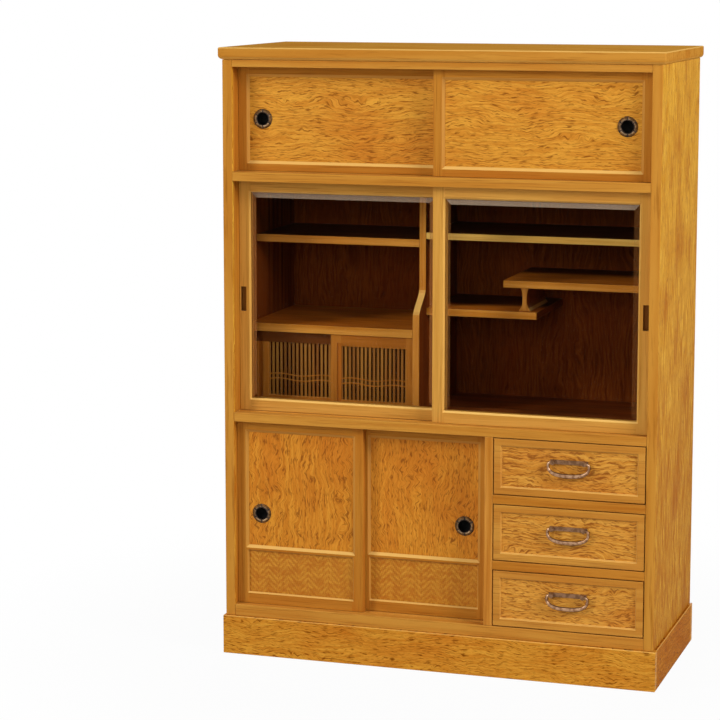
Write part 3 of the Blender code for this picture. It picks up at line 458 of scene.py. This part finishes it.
def metal(name, light, dark, roughness, metallic, gloss=0.5, flank=None):
    """Old bronze: a patina that gathers in patches, rubbed bright elsewhere. Its flanks may be darker: partly
    patina, partly painted shade.
    """
    shader = Shader(name)
    patch = shader.noise(shader.place(), PATINA_SCALE, detail=3.0)
    fine = shader.noise(shader.place(), PITTING_SCALE)
    rubbed = shader.step(patch, 0.38, 0.62)
    colour = shader.mix(rubbed, dark, light)
    if flank:
        forward = shader.math("ABSOLUTE", shader.parts(shader.normal())[1])
        colour = shader.mix(shader.step(forward, 0.30, 0.85), flank, colour)
    shader.feed(shader.surface.inputs["Base Color"], colour)
    shader.feed(shader.surface.inputs["Roughness"], shader.blend(patch, roughness + 0.14, roughness - 0.10))
    shader.surface.inputs["Metallic"].default_value = metallic
    shader.surface.inputs["Specular IOR Level"].default_value = gloss
    shader.bump(fine, 0.15, 0.0001)
    return shader.material


STRIP_TONES = {
    "X": (srgb(206, 142, 44), srgb(192, 126, 32)),
    "Z": (srgb(196, 128, 32), srgb(180, 110, 22)),
}
FIBRE_SCALES = {"X": (30.0, 600.0, 900.0), "Z": (900.0, 600.0, 30.0)}
BLOTCH_SCALE = (60.0, 20.0, 80.0)
STRIP_BLOTCH = srgb(176, 98, 12)
STRIP_FIBRE = srgb(140, 80, 20)
STRIP_GLOSS = 0.25


def strip_wood(name, along, pitch):
    """Split cedar strips: each has its own tone, with fine fibres along it."""
    shader = Shader(name)
    x, _, z = shader.parts(shader.place())
    number = shader.math("FLOOR", shader.math("DIVIDE", z if along == "X" else x, pitch))
    tone = shader.node("ShaderNodeTexWhiteNoise", noise_dimensions="1D")
    shader.feed(tone.inputs["W"], number)
    fibre = shader.noise(shader.place(), FIBRE_SCALES[along], detail=3.0, roughness=0.6)
    light, dark = STRIP_TONES[along]
    colour = shader.mix(tone.outputs["Value"], light, dark)
    blotch = shader.noise(shader.place(), BLOTCH_SCALE)
    colour = shader.overlay(colour, STRIP_BLOTCH, blotch, 0.42, 0.66, 0.6)
    colour = shader.overlay(colour, STRIP_FIBRE, fibre, 0.5, 0.8, 0.4)
    shader.feed(shader.surface.inputs["Base Color"], colour)
    shader.feed(shader.surface.inputs["Roughness"], shader.blend(fibre, 0.45, 0.60))
    shader.surface.inputs["Specular IOR Level"].default_value = STRIP_GLOSS
    shader.bump(fibre, 0.2, 0.0002)
    return shader.material


GLASS_TINT = (0.965, 0.96, 0.945, 1.0)
GLASS_ROUGHNESS = 0.02
GLASS_MIRROR = 1.05
BEVEL_LEAST = 0.03
BEVEL_MOST = 0.08
TOP_VEIL = 0.37
FOOT_VEIL = 0.02
SPECK_SCALE = (40.0, 40.0, 40.0)
# Painted reflection of the frame's wood in the side bevels, and a paler painted highlight in the top bevel
SIDE_BEVEL_REFLECTION = srgb(190, 124, 66)
TOP_BEVEL_HIGHLIGHT = srgb(206, 178, 150)


def pane_glass(name, side_veil):
    """Thin clear glass. Its bevel shows a painted reflection of the wood around it, and a paler painted
    highlight along the top.
    """
    shader = Shader(name)
    tree = shader.tree
    tree.nodes.remove(shader.surface)
    clear = shader.node("ShaderNodeBsdfTransparent")
    clear.inputs["Color"].default_value = GLASS_TINT
    gloss = shader.node("ShaderNodeBsdfAnisotropic")
    gloss.inputs["Roughness"].default_value = GLASS_ROUGHNESS
    mirror = shader.node("ShaderNodeFresnel")
    mirror.inputs["IOR"].default_value = GLASS_MIRROR
    pane = shader.node("ShaderNodeMixShader")
    tree.links.new(mirror.outputs[0], pane.inputs[0])
    tree.links.new(clear.outputs[0], pane.inputs[1])
    tree.links.new(gloss.outputs[0], pane.inputs[2])
    x, _, z = shader.parts(shader.normal())
    sides = shader.step(shader.math("ABSOLUTE", x), BEVEL_LEAST, BEVEL_MOST)
    top = shader.step(z, BEVEL_LEAST, BEVEL_MOST)
    foot = shader.step(z, -BEVEL_LEAST, -BEVEL_MOST)
    speck = shader.noise(shader.place(), SPECK_SCALE)
    # How much painted reflection and highlight each bevel takes
    veil = shader.math("MULTIPLY", sides, side_veil)
    veil = shader.math("ADD", veil, shader.math("MULTIPLY", top, TOP_VEIL))
    veil = shader.math("ADD", veil, shader.math("MULTIPLY", foot, FOOT_VEIL))
    veil = shader.math("MULTIPLY", veil, shader.blend(speck, 0.9, 1.1))
    painted_bevel = shader.node("ShaderNodeBsdfDiffuse")
    shader.feed(painted_bevel.inputs["Color"], shader.mix(top, SIDE_BEVEL_REFLECTION, TOP_BEVEL_HIGHLIGHT))
    bevel = shader.node("ShaderNodeMixShader")
    shader.feed(bevel.inputs[0], veil)
    tree.links.new(pane.outputs[0], bevel.inputs[1])
    tree.links.new(painted_bevel.outputs[0], bevel.inputs[2])
    tree.links.new(bevel.outputs[0], tree.nodes["Material Output"].inputs["Surface"])
    return shader.material


# Shapes

def finish_mesh(name, builder, materials, smooth_angle=None):
    """Turns built geometry into an object of the scene."""
    bmesh.ops.recalc_face_normals(builder, faces=builder.faces[:])
    mesh = bpy.data.meshes.new(name)
    builder.to_mesh(mesh)
    builder.free()
    for material in materials:
        mesh.materials.append(material)
    if smooth_angle is not None:
        mesh.shade_smooth()
        mesh.set_sharp_from_angle(angle=math.radians(smooth_angle))
    obj = bpy.data.objects.new(name, mesh)
    bpy.context.scene.collection.objects.link(obj)
    return obj


def add_rings(builder, rings, materials=None, closed_ends=True):
    """Skins a row of closed rings of points. Each band between two rings may have its own material."""
    rows = [[builder.verts.new(point) for point in ring] for ring in rings]
    for number, (row, after) in enumerate(zip(rows, rows[1:])):
        count = len(row)
        for i in range(count):
            corners = (row[i], row[(i + 1) % count], after[(i + 1) % count], after[i])
            face = builder.faces.new(corners)
            face.material_index = materials[number] if materials else 0
    if closed_ends:
        builder.faces.new(rows[0]).material_index = materials[0] if materials else 0
        builder.faces.new(rows[-1]).material_index = materials[-1] if materials else 0


def add_strip(builder, path, across, thickness, material):
    """A flat strip along a path, with its thickness along Y."""
    deep = Vector((0.0, thickness / 2, 0.0))
    rings = []
    for point in path:
        near = point - across
        far = point + across
        rings.append([near - deep, far - deep, far + deep, near + deep])
    add_rings(builder, rings, [material] * (len(rings) - 1))


STRIP_PITCH = 0.0031
STRIP_WIDTH = 0.0029
STRIP_THICK = 0.0005
STRIP_LIFT = 0.0004
STRIP_FLAT = 0.34
CHEVRON = 7
BACKING_DROP = 0.0027
# Materials of the weave, by number
WEFT, WARP = range(2)


def weft_on_top(column, row):
    """Two over, two under, with the slant turning every few columns."""
    turn = column % (2 * CHEVRON)
    phase = turn if turn <= CHEVRON else 2 * CHEVRON - turn
    return (row + phase) % 4 < 2


def strip_path(crossings, tops, level, place):
    """A strip's path over and under the crossings. place(along, depth) gives the point."""
    points = [place(crossings[0] - STRIP_PITCH / 2, level[tops[0]])]
    for i in range(len(crossings) - 1):
        if tops[i] != tops[i + 1]:
            points.append(place(crossings[i] + STRIP_FLAT * STRIP_PITCH, level[tops[i]]))
            points.append(place(crossings[i + 1] - STRIP_FLAT * STRIP_PITCH, level[tops[i + 1]]))
    points.append(place(crossings[-1] + STRIP_PITCH / 2, level[tops[-1]]))
    return points


def weave(node, body):
    """A panel of strips woven in a herringbone, on a thin backing board."""
    low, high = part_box(node)
    columns = int((high.x - low.x) / STRIP_PITCH)
    rows = int((high.z - low.z) / STRIP_PITCH)
    first_x = (low.x + high.x - (columns - 1) * STRIP_PITCH) / 2
    first_z = (low.z + high.z - (rows - 1) * STRIP_PITCH) / 2
    column_x = [first_x + i * STRIP_PITCH for i in range(columns)]
    row_z = [first_z + i * STRIP_PITCH for i in range(rows)]
    surface = low.y + STRIP_THICK
    level = {True: surface, False: surface + 2 * STRIP_LIFT}
    builder = bmesh.new()
    for j, z in enumerate(row_z):
        tops = [weft_on_top(i, j) for i in range(columns)]
        path = strip_path(column_x, tops, level, lambda along, depth: Vector((along, depth, z)))
        add_strip(builder, path, Vector((0.0, 0.0, STRIP_WIDTH / 2)), STRIP_THICK, WEFT)
    for i, x in enumerate(column_x):
        tops = [not weft_on_top(i, j) for j in range(rows)]
        path = strip_path(row_z, tops, level, lambda along, depth: Vector((x, depth, along)))
        add_strip(builder, path, Vector((STRIP_WIDTH / 2, 0.0, 0.0)), STRIP_THICK, WARP)
    ring = [(low.x, low.z), (high.x, low.z), (high.x, high.z), (low.x, high.z)]
    backing = [[Vector((x, y, z)) for x, z in ring] for y in (low.y + BACKING_DROP, high.y)]
    add_rings(builder, backing, [WEFT])
    panel = finish_mesh(node + "_weave", builder, [weft_wood, warp_wood])
    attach(panel, body)
    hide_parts(node)


PETALS = 6
PETAL_STEPS = 12
PETAL_SHARPNESS = 0.55
PETAL_GAP = 0.13
ROSETTE_STAND = 0.0025
ROSETTE_SMOOTH = 40
# Materials of the rosette, by number
RIM, CUP, PETAL_FOOT, PETAL = range(4)
# Radius, height out of the panel, how far a petal lifts there, material of the band after it
ROSETTE_PROFILE = (
    (0.00001, -0.0064, 0.0, CUP),
    (0.0106, -0.0064, 0.0, CUP),
    (0.0116, -0.0056, 0.0, CUP),
    (0.0118, 0.0013, 0.0, CUP),
    (0.0122, 0.002, 0.0, RIM),
    (0.0128, 0.0024, 0.0, RIM),
    (0.0134, 0.002, 0.0, RIM),
    (0.0137, 0.0012, 0.0, PETAL_FOOT),
    (0.0144, 0.001, 0.0008, PETAL_FOOT),
    (0.0158, 0.0009, 0.0013, PETAL),
    (0.0172, 0.0008, 0.0013, PETAL),
    (0.0186, 0.0007, 0.0009, PETAL),
    (0.0191, 0.0008, 0.0, RIM),
    (0.0195, 0.0013, 0.0, RIM),
    (0.0199, 0.001, 0.0, RIM),
    (0.02, 0.0004, 0.0, RIM),
    (0.0196, 0.0003, 0.0, RIM),
    (0.013, 0.0003, 0.0, RIM),
    (0.013, -0.0076, 0.0, RIM),
    (0.00001, -0.0076, 0.0, RIM),
)


def rosette(node, body):
    """A round pull: a black cup in a ring of six petals."""
    low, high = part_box(node)
    centre = (low + high) / 2
    seat = low.y + ROSETTE_STAND
    steps = PETALS * PETAL_STEPS
    rings = []
    for radius, height, lift, _ in ROSETTE_PROFILE:
        ring = []
        for i in range(steps):
            turn = 2 * math.pi * i / steps
            petal = abs(math.cos(PETALS / 2 * turn)) ** PETAL_SHARPNESS
            across = centre.x + radius * math.cos(turn)
            rise = centre.z + radius * math.sin(turn)
            ring.append(Vector((across, seat - height - lift * petal, rise)))
        rings.append(ring)
    builder = bmesh.new()
    add_rings(builder, rings, [row[3] for row in ROSETTE_PROFILE[:-1]])
    for face in builder.faces:
        if face.material_index in (PETAL_FOOT, PETAL):
            middle = face.calc_center_median() - centre
            turn = math.atan2(middle.z, middle.x) % (2 * math.pi / PETALS)
            if abs(turn - math.pi / PETALS) < PETAL_GAP:
                face.material_index = RIM
    metals = [dark_bronze, black_cup, worn_bronze, petal_bronze]
    pull = finish_mesh(node + "_rosette", builder, metals, ROSETTE_SMOOTH)
    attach(pull, body)
    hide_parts(node)


BAIL_END_RADIUS = 0.0026
BAIL_MIDDLE_RADIUS = 0.0043
BAIL_SWELL = 3
BAIL_CORNER = 0.006
BAIL_CORNER_STEPS = 5
BAIL_FULLNESS = 2.6
BAIL_STEPS = 30
BAIL_SIDES = 16
BAIL_SMOOTH = 50


def bail(node, body, post_node):
    """A bent bronze rod that swells towards the middle of its loop."""
    low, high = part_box(node)
    radius = (high.y - low.y) / 2
    axis = Vector(((low.x + high.x) / 2, (low.y + high.y) / 2, high.z - radius))
    half = (high.x - low.x) / 2 - radius
    drop = high.z - low.z - 2 * radius
    inner = (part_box(post_node)[1].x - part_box(post_node)[0].x) / 2 - radius
    right = [(inner, 0.0), (half - BAIL_CORNER, 0.0)]
    for i in range(1, BAIL_CORNER_STEPS):
        turn = math.pi / 2 * i / BAIL_CORNER_STEPS
        right.append((half - BAIL_CORNER * (1 - math.sin(turn)), BAIL_CORNER * (math.cos(turn) - 1)))
    for i in range(BAIL_STEPS):
        turn = math.pi / 2 * i / BAIL_STEPS
        across = half * math.cos(turn) ** (2 / BAIL_FULLNESS)
        below = BAIL_CORNER + (drop - BAIL_CORNER) * math.sin(turn) ** (2 / BAIL_FULLNESS)
        right.append((across, -below))
    path = right + [(0.0, -drop)] + [(-across, height) for across, height in reversed(right)]
    rings = []
    for i, (across, height) in enumerate(path):
        before = Vector(path[max(i - 1, 0)])
        after = Vector(path[min(i + 1, len(path) - 1)])
        way = (after - before).normalized()
        side = Vector((-way.y, way.x))
        swell = (height / -drop) ** BAIL_SWELL
        thick = BAIL_END_RADIUS + (BAIL_MIDDLE_RADIUS - BAIL_END_RADIUS) * swell
        ring = []
        for k in range(BAIL_SIDES):
            turn = 2 * math.pi * k / BAIL_SIDES
            flat = thick * math.cos(turn)
            depth = thick * math.sin(turn)
            ring.append(axis + Vector((across + side.x * flat, depth, height + side.y * flat)))
        rings.append(ring)
    builder = bmesh.new()
    add_rings(builder, rings)
    rod = finish_mesh(node + "_rod", builder, [rubbed_bronze], BAIL_SMOOTH)
    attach(rod, body)
    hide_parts(node)


WELD_REACH = 0.00001
FLAT_ANGLE = 0.5
SOFT_ANGLE = 40
SOFT_SEGMENTS = 2


def soften(node, width):
    """Takes the sharpness off a solid's edges."""
    obj = NODES[node]
    weld = obj.modifiers.new("weld", "WELD")
    weld.merge_threshold = WELD_REACH
    flat = obj.modifiers.new("flat", "DECIMATE")
    flat.decimate_type = "DISSOLVE"
    flat.angle_limit = math.radians(FLAT_ANGLE)
    bevel = obj.modifiers.new("soft", "BEVEL")
    bevel.width = width
    bevel.segments = SOFT_SEGMENTS
    bevel.limit_method = "ANGLE"
    bevel.angle_limit = math.radians(SOFT_ANGLE)


def dress(node, material, edge=0.0):
    """Gives a solid its material and, if it has an edge width, softened edges."""
    NODES[node].data.materials.clear()
    NODES[node].data.materials.append(material)
    if edge:
        soften(node, edge)


# Dressing the solids

# Bronzes: light and dark tone, roughness, metallic share, gloss
bronze = metal("antique_bronze", srgb(138, 102, 74), srgb(108, 76, 50), 0.44, 0.75, 0.3)
# Darker flanks of the bail: partly patina, partly painted shade around the rod
BAIL_FLANK = srgb(70, 47, 33)
rubbed_bronze = metal("rubbed_bronze", srgb(182, 144, 112), srgb(136, 98, 70), 0.34, 0.8, 0.3, BAIL_FLANK)
dark_bronze = metal("dark_bronze", srgb(74, 56, 42), srgb(34, 25, 19), 0.46, 0.7)
worn_bronze = metal("worn_bronze", srgb(148, 122, 92), srgb(104, 80, 56), 0.46, 0.6, 0.2)
petal_bronze = metal("petal_bronze", srgb(118, 80, 38), srgb(78, 52, 24), 0.46, 0.6, 0.2)
black_cup = metal("black_lacquer", srgb(14, 13, 12), srgb(6, 6, 6), 0.6, 0.0, 0.02)
weft_wood = strip_wood("weft_strips", "X", STRIP_PITCH)
warp_wood = strip_wood("warp_strips", "Z", STRIP_PITCH)
# How much painted reflection each pane's side bevels take
SIDE_VEILS = {"left": 0.42, "right": 0.14}
panes = {side: pane_glass(f"{side}_bevelled_glass", veil) for side, veil in SIDE_VEILS.items()}

EDGE = 0.0009
TOP_EDGE = 0.0025
PLATE_EDGE = 0.0005
# Painted shade on the inner faces of the case sides: a darker amber from this depth on, and the dark inside
# wood behind the doors
INNER_DEPTH = 0.008
INNER_START = CASE_FRONT + INNER_DEPTH
# Painted shade: the faces inside the case, behind the doors, take the dark inside wood
DARK_INSIDE = ((DOOR_BACK, "inside"),)
# Painted shade on some faces: the axis that the shaded faces look along, the darker wood, and between which
# distances from the front it sets in
# Side faces of the partition, the strut and the low shelf, in painted shade
DARK_FACES = (0, "inside", 0.0, 0.004)
# Display shelf tops near black, as a painted shadow
DARK_TOP = (2, "shelf_dark", 0.0, 0.004)
# The rear of a shelf top, as a painted shadow of the shelf above
DARK_REAR = (2, "shelf_dark", 0.05, 0.11)
DARK_FAR_REAR = (2, "shelf_dark", 0.11, 0.18)
# Tops lit at a grazing angle, as a darker, redder painted shade
WARM_TOP = (2, "shelf_warm", 0.0, 0.004)
# Boards: nodes, grain, wood and settings
BOARDS = (
    (("plinth_front", "plinth_back"), "XZ", "figured", {"strength": 1.15, "gloss": 0.02}),
    (("plinth_left", "plinth_right"), "YZ", "plinth_side", {"strength": 1.1, "gloss": 0.002}),
    (
        ("left_side", "right_side"),
        "ZY",
        "side",
        {
            "strength": 0.85,
            "foot": 0.7,
            "face": 0,
            "inside": ((INNER_START, "amber"), (DOOR_BACK, "inside")),
            "gloss": 0.002,
        },
    ),
    (
        ("bottom_board", "lower_divider", "upper_divider", "head_rail"),
        "XZ",
        "plain",
        {"inside": DARK_INSIDE, "gloss": 0.05},
    ),
    (("drawer_shelf_lower", "drawer_shelf_upper"), "XZ", "rail", {"inside": DARK_INSIDE, "gloss": 0.05}),
    (("left_display_shelf",), "XZ", "shelf", {"stains": (DARK_TOP,), "gloss": 0.02}),
    (("right_display_shelf",), "XZ", "shelf_pale", {"stains": (DARK_TOP,), "gloss": 0.02}),
    (("staggered_shelf_high",), "XZ", "shelf", {"stains": (WARM_TOP, DARK_FAR_REAR), "gloss": 0.02}),
    (("staggered_shelf_low",), "XZ", "shelf", {"stains": (WARM_TOP, DARK_REAR, DARK_FACES), "gloss": 0.02}),
    (("lattice_cupboard_top", "lattice_sill"), "XZ", "shelf", {"stains": (WARM_TOP,), "gloss": 0.02}),
    (("lower_partition",), "ZX", "shelf", {"gloss": 0.03}),
    (("display_partition", "shelf_strut"), "ZX", "shelf", {"stains": (DARK_FACES,), "gloss": 0.03}),
)
number = 0
for names, grain, wood, settings in BOARDS:
    for node in names:
        number += 1
        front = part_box(node)[0].y
        dress(node, board(node + "_wood", grain, offset_of(number), wood, front=front, **settings), EDGE)
TOP_CUT = 3
top_wood = board("top_board_wood", "XY", offset_of(TOP_CUT), "top", strength=0.3, face=2, gloss=0.0)
dress("top_board", top_wood, TOP_EDGE)

BACK_CUT = 3.3
BACK_FIGURE = 0.55
BACK_GLOSS = 0.01
# The inner face is dark figured wood, partly a darker stain and partly painted shade; the rear face takes the
# plain shelf wood
shader = Shader("back_panel_wood")
back_colour, back_height = figured_grain(shader, "ZX", offset_of(BACK_CUT), "inside", BACK_FIGURE)
rear_colour, _ = plain_grain(shader, "ZX", offset_of(BACK_CUT), "shelf")
faces_rear = shader.math("GREATER_THAN", shader.parts(shader.normal())[1], 0.5)
varnish(shader, shader.mix(faces_rear, back_colour, rear_colour), back_height, BACK_GLOSS)
dress("back_panel", shader.material)

SLOTS = {opening["name"]: opening["box_m"] for opening in frame["record"]["physics"]["openings"]}
HOLLOW_MARGIN = 0.0007
HOLLOW_START = 0.0004
STILES = {"upper": 0.024, "glass": 0.025, "lower": 0.024}
FRAME_WOODS = {"upper": "amber", "glass": "pale", "lower": "amber", "lattice": "lattice_frame"}
LATTICE_STILES = {"left": (0.037, 0.0145), "right": (0.0225, 0.0145)}
LATTICE_HEAD = 0.028
SUNK_STRIP = (0.0135, 0.0230)
WAVE_STAND = 0.0007
# Painted shade in the finger slot's hollow and in the sunk strip of the lattice stiles, and a painted shadow
# on the top rail of the left lattice door under the cupboard top
SLOT_SHADE = srgb(112, 58, 18)
SUNK_SHADE = srgb(170, 96, 28)
HEAD_SHADOW = srgb(84, 38, 14)
for storey in ("upper", "glass", "lower", "lattice"):
    for side in ("left", "right"):
        number += 1
        node = f"{storey}_{side}_door_frame"
        low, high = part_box(node)
        left, right = LATTICE_STILES[side] if storey == "lattice" else (STILES[storey],) * 2
        box_shades = []
        if storey == "glass":
            slot_low, slot_high = SLOTS[f"{side}_finger_slot"]
            grown_low = (slot_low[0] - HOLLOW_MARGIN, low.y + HOLLOW_START, slot_low[2] - HOLLOW_MARGIN)
            grown_high = (slot_high[0] + HOLLOW_MARGIN, high.y, slot_high[2] + HOLLOW_MARGIN)
            box_shades.append((grown_low, grown_high, SLOT_SHADE))
        elif storey == "lattice":
            strip_low = (low.x + SUNK_STRIP[0], low.y + HOLLOW_START, low.z)
            strip_high = (low.x + SUNK_STRIP[1], high.y, high.z)
            box_shades.append((strip_low, strip_high, SUNK_SHADE))
            # Painted shadow of the cupboard top on the left lattice door's top rail
            if side == "left":
                head_low = (low.x, low.y - HOLLOW_START, high.z - LATTICE_HEAD)
                box_shades.append((head_low, high, HEAD_SHADOW))
        window = (low.x + left, high.x - right)
        material = frame_wood(node + "_wood", number, FRAME_WOODS[storey], window, box_shades)
        dress(node, material, EDGE)

UPPER_FIGURE = 1.0
LOWER_FIGURE = 0.85
for side in ("left", "right"):
    number += 2
    upper_wood = board(f"upper_{side}_panel_wood", "XZ", offset_of(number), "figured", UPPER_FIGURE)
    dress(f"upper_{side}_door_panel", upper_wood)
    lower_wood = board(f"lower_{side}_panel_wood", "ZX", offset_of(number + 1), "warm", LOWER_FIGURE, "curly")
    dress(f"lower_{side}_door_panel", lower_wood)
    dress(f"glass_{side}_door_pane", panes[side])
    shader = Shader(f"lattice_{side}_wood")
    slat_colour, slat_height = plain_grain(shader, "ZX", offset_of(number), "lattice")
    wave_colour, _ = plain_grain(shader, "XZ", offset_of(number), "wave")
    wave_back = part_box(f"lattice_{side}_door_slats")[0].y + WAVE_STAND
    on_wave = shader.math("LESS_THAN", shader.parts(shader.place())[1], wave_back)
    varnish(shader, shader.mix(on_wave, slat_colour, wave_colour), slat_height)
    dress(f"lattice_{side}_door_slats", shader.material)
    weave(f"lower_{side}_door_wicker", f"lower_{side}_door")
    for storey in ("upper", "lower"):
        rosette(f"{storey}_{side}_door_pull", f"{storey}_{side}_door")

DRAWER_BORDER = 0.016
for level in ("lower", "middle", "upper"):
    number += 1
    drawer = f"drawer_{level}"
    low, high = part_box(drawer + "_front")
    wood = drawer_wood(drawer + "_wood", number, (low.x, high.x), (low.z, high.z), DRAWER_BORDER)
    dress(drawer + "_front", wood, EDGE)
    box_wood = board(drawer + "_box_wood", "YZ", offset_of(number), "plain")
    dress(drawer + "_box", box_wood, EDGE)
    dress(drawer + "_bottom", box_wood)
    dress(drawer + "_handle_plate", bronze, PLATE_EDGE)
    bail(drawer + "_bail", drawer + "_bail", drawer + "_handle_plate")


# Floor, light and camera
FLOOR_TILES = 8


def seen_rays(tree):
    """1 for rays that the eye follows, straight, off a shine or through glass, and 0 for the rest."""
    rays = tree.nodes.new("ShaderNodeLightPath")
    seen = rays.outputs["Is Camera Ray"]
    for kind in ("Is Glossy Ray", "Is Transmission Ray"):
        either = tree.nodes.new("ShaderNodeMath")
        either.operation = "MAXIMUM"
        tree.links.new(seen, either.inputs[0])
        tree.links.new(rays.outputs[kind], either.inputs[1])
        seen = either.outputs[0]
    return seen


def build_floor():
    """A floor that looks white, with a faint shadow near the cabinet."""
    builder = bmesh.new()
    bmesh.ops.create_grid(builder, x_segments=FLOOR_TILES, y_segments=FLOOR_TILES, size=FLOOR_HALF)
    shader = Shader("floor")
    tree = shader.tree
    tree.nodes.remove(shader.surface)
    plain = shader.node("ShaderNodeBsdfDiffuse")
    plain.inputs["Color"].default_value = FLOOR_COLOUR
    white = shader.node("ShaderNodeEmission")
    both = shader.node("ShaderNodeMixShader")
    away = shader.node("ShaderNodeVectorMath", operation="LENGTH")
    shader.feed(away.inputs[0], shader.place())
    glow = shader.blend(shader.step(away.outputs["Value"], *FLOOR_FADE), FLOOR_GLOW, 1.0)
    shader.feed(both.inputs[0], shader.math("MULTIPLY", seen_rays(tree), glow))
    tree.links.new(plain.outputs[0], both.inputs[1])
    tree.links.new(white.outputs[0], both.inputs[2])
    tree.links.new(both.outputs[0], tree.nodes["Material Output"].inputs["Surface"])
    floor = finish_mesh("floor", builder, [shader.material])


def build_world():
    """A white room to look at, which casts only a little light."""
    world = bpy.data.worlds.new("studio")
    bpy.context.scene.world = world
    world.use_nodes = True
    tree = world.node_tree
    background = tree.nodes["Background"]
    strength = tree.nodes.new("ShaderNodeMapRange")
    strength.inputs["To Min"].default_value = AMBIENT
    tree.links.new(seen_rays(tree), strength.inputs["Value"])
    background.inputs["Color"].default_value = (1.0, 1.0, 1.0, 1.0)
    tree.links.new(strength.outputs["Result"], background.inputs["Strength"])


def build_lamps():
    for name, (power, size, place) in LAMPS.items():
        lamp = bpy.data.lights.new(name, "AREA")
        lamp.energy = power
        lamp.size = size
        obj = bpy.data.objects.new(name, lamp)
        obj.location = place
        obj.rotation_euler = (LIGHT_TARGET - Vector(place)).to_track_quat("-Z", "Y").to_euler()
        obj.visible_glossy = name not in UNMIRRORED
        bpy.context.scene.collection.objects.link(obj)


def build_camera():
    camera = bpy.data.cameras.new("camera")
    camera.sensor_width = SENSOR_WIDTH
    camera.lens = LENS
    camera.shift_y = CAMERA_SHIFT_Y
    obj = bpy.data.objects.new("camera", camera)
    obj.location = CAMERA_PLACE
    obj.rotation_euler = (math.radians(90 - CAMERA_DIP), 0.0, math.radians(CAMERA_YAW))
    bpy.context.scene.collection.objects.link(obj)
    bpy.context.scene.camera = obj


build_floor()
build_world()
build_lamps()
build_camera()
bpy.context.scene.view_settings.view_transform = "Standard"

bpy.context.view_layer.update()
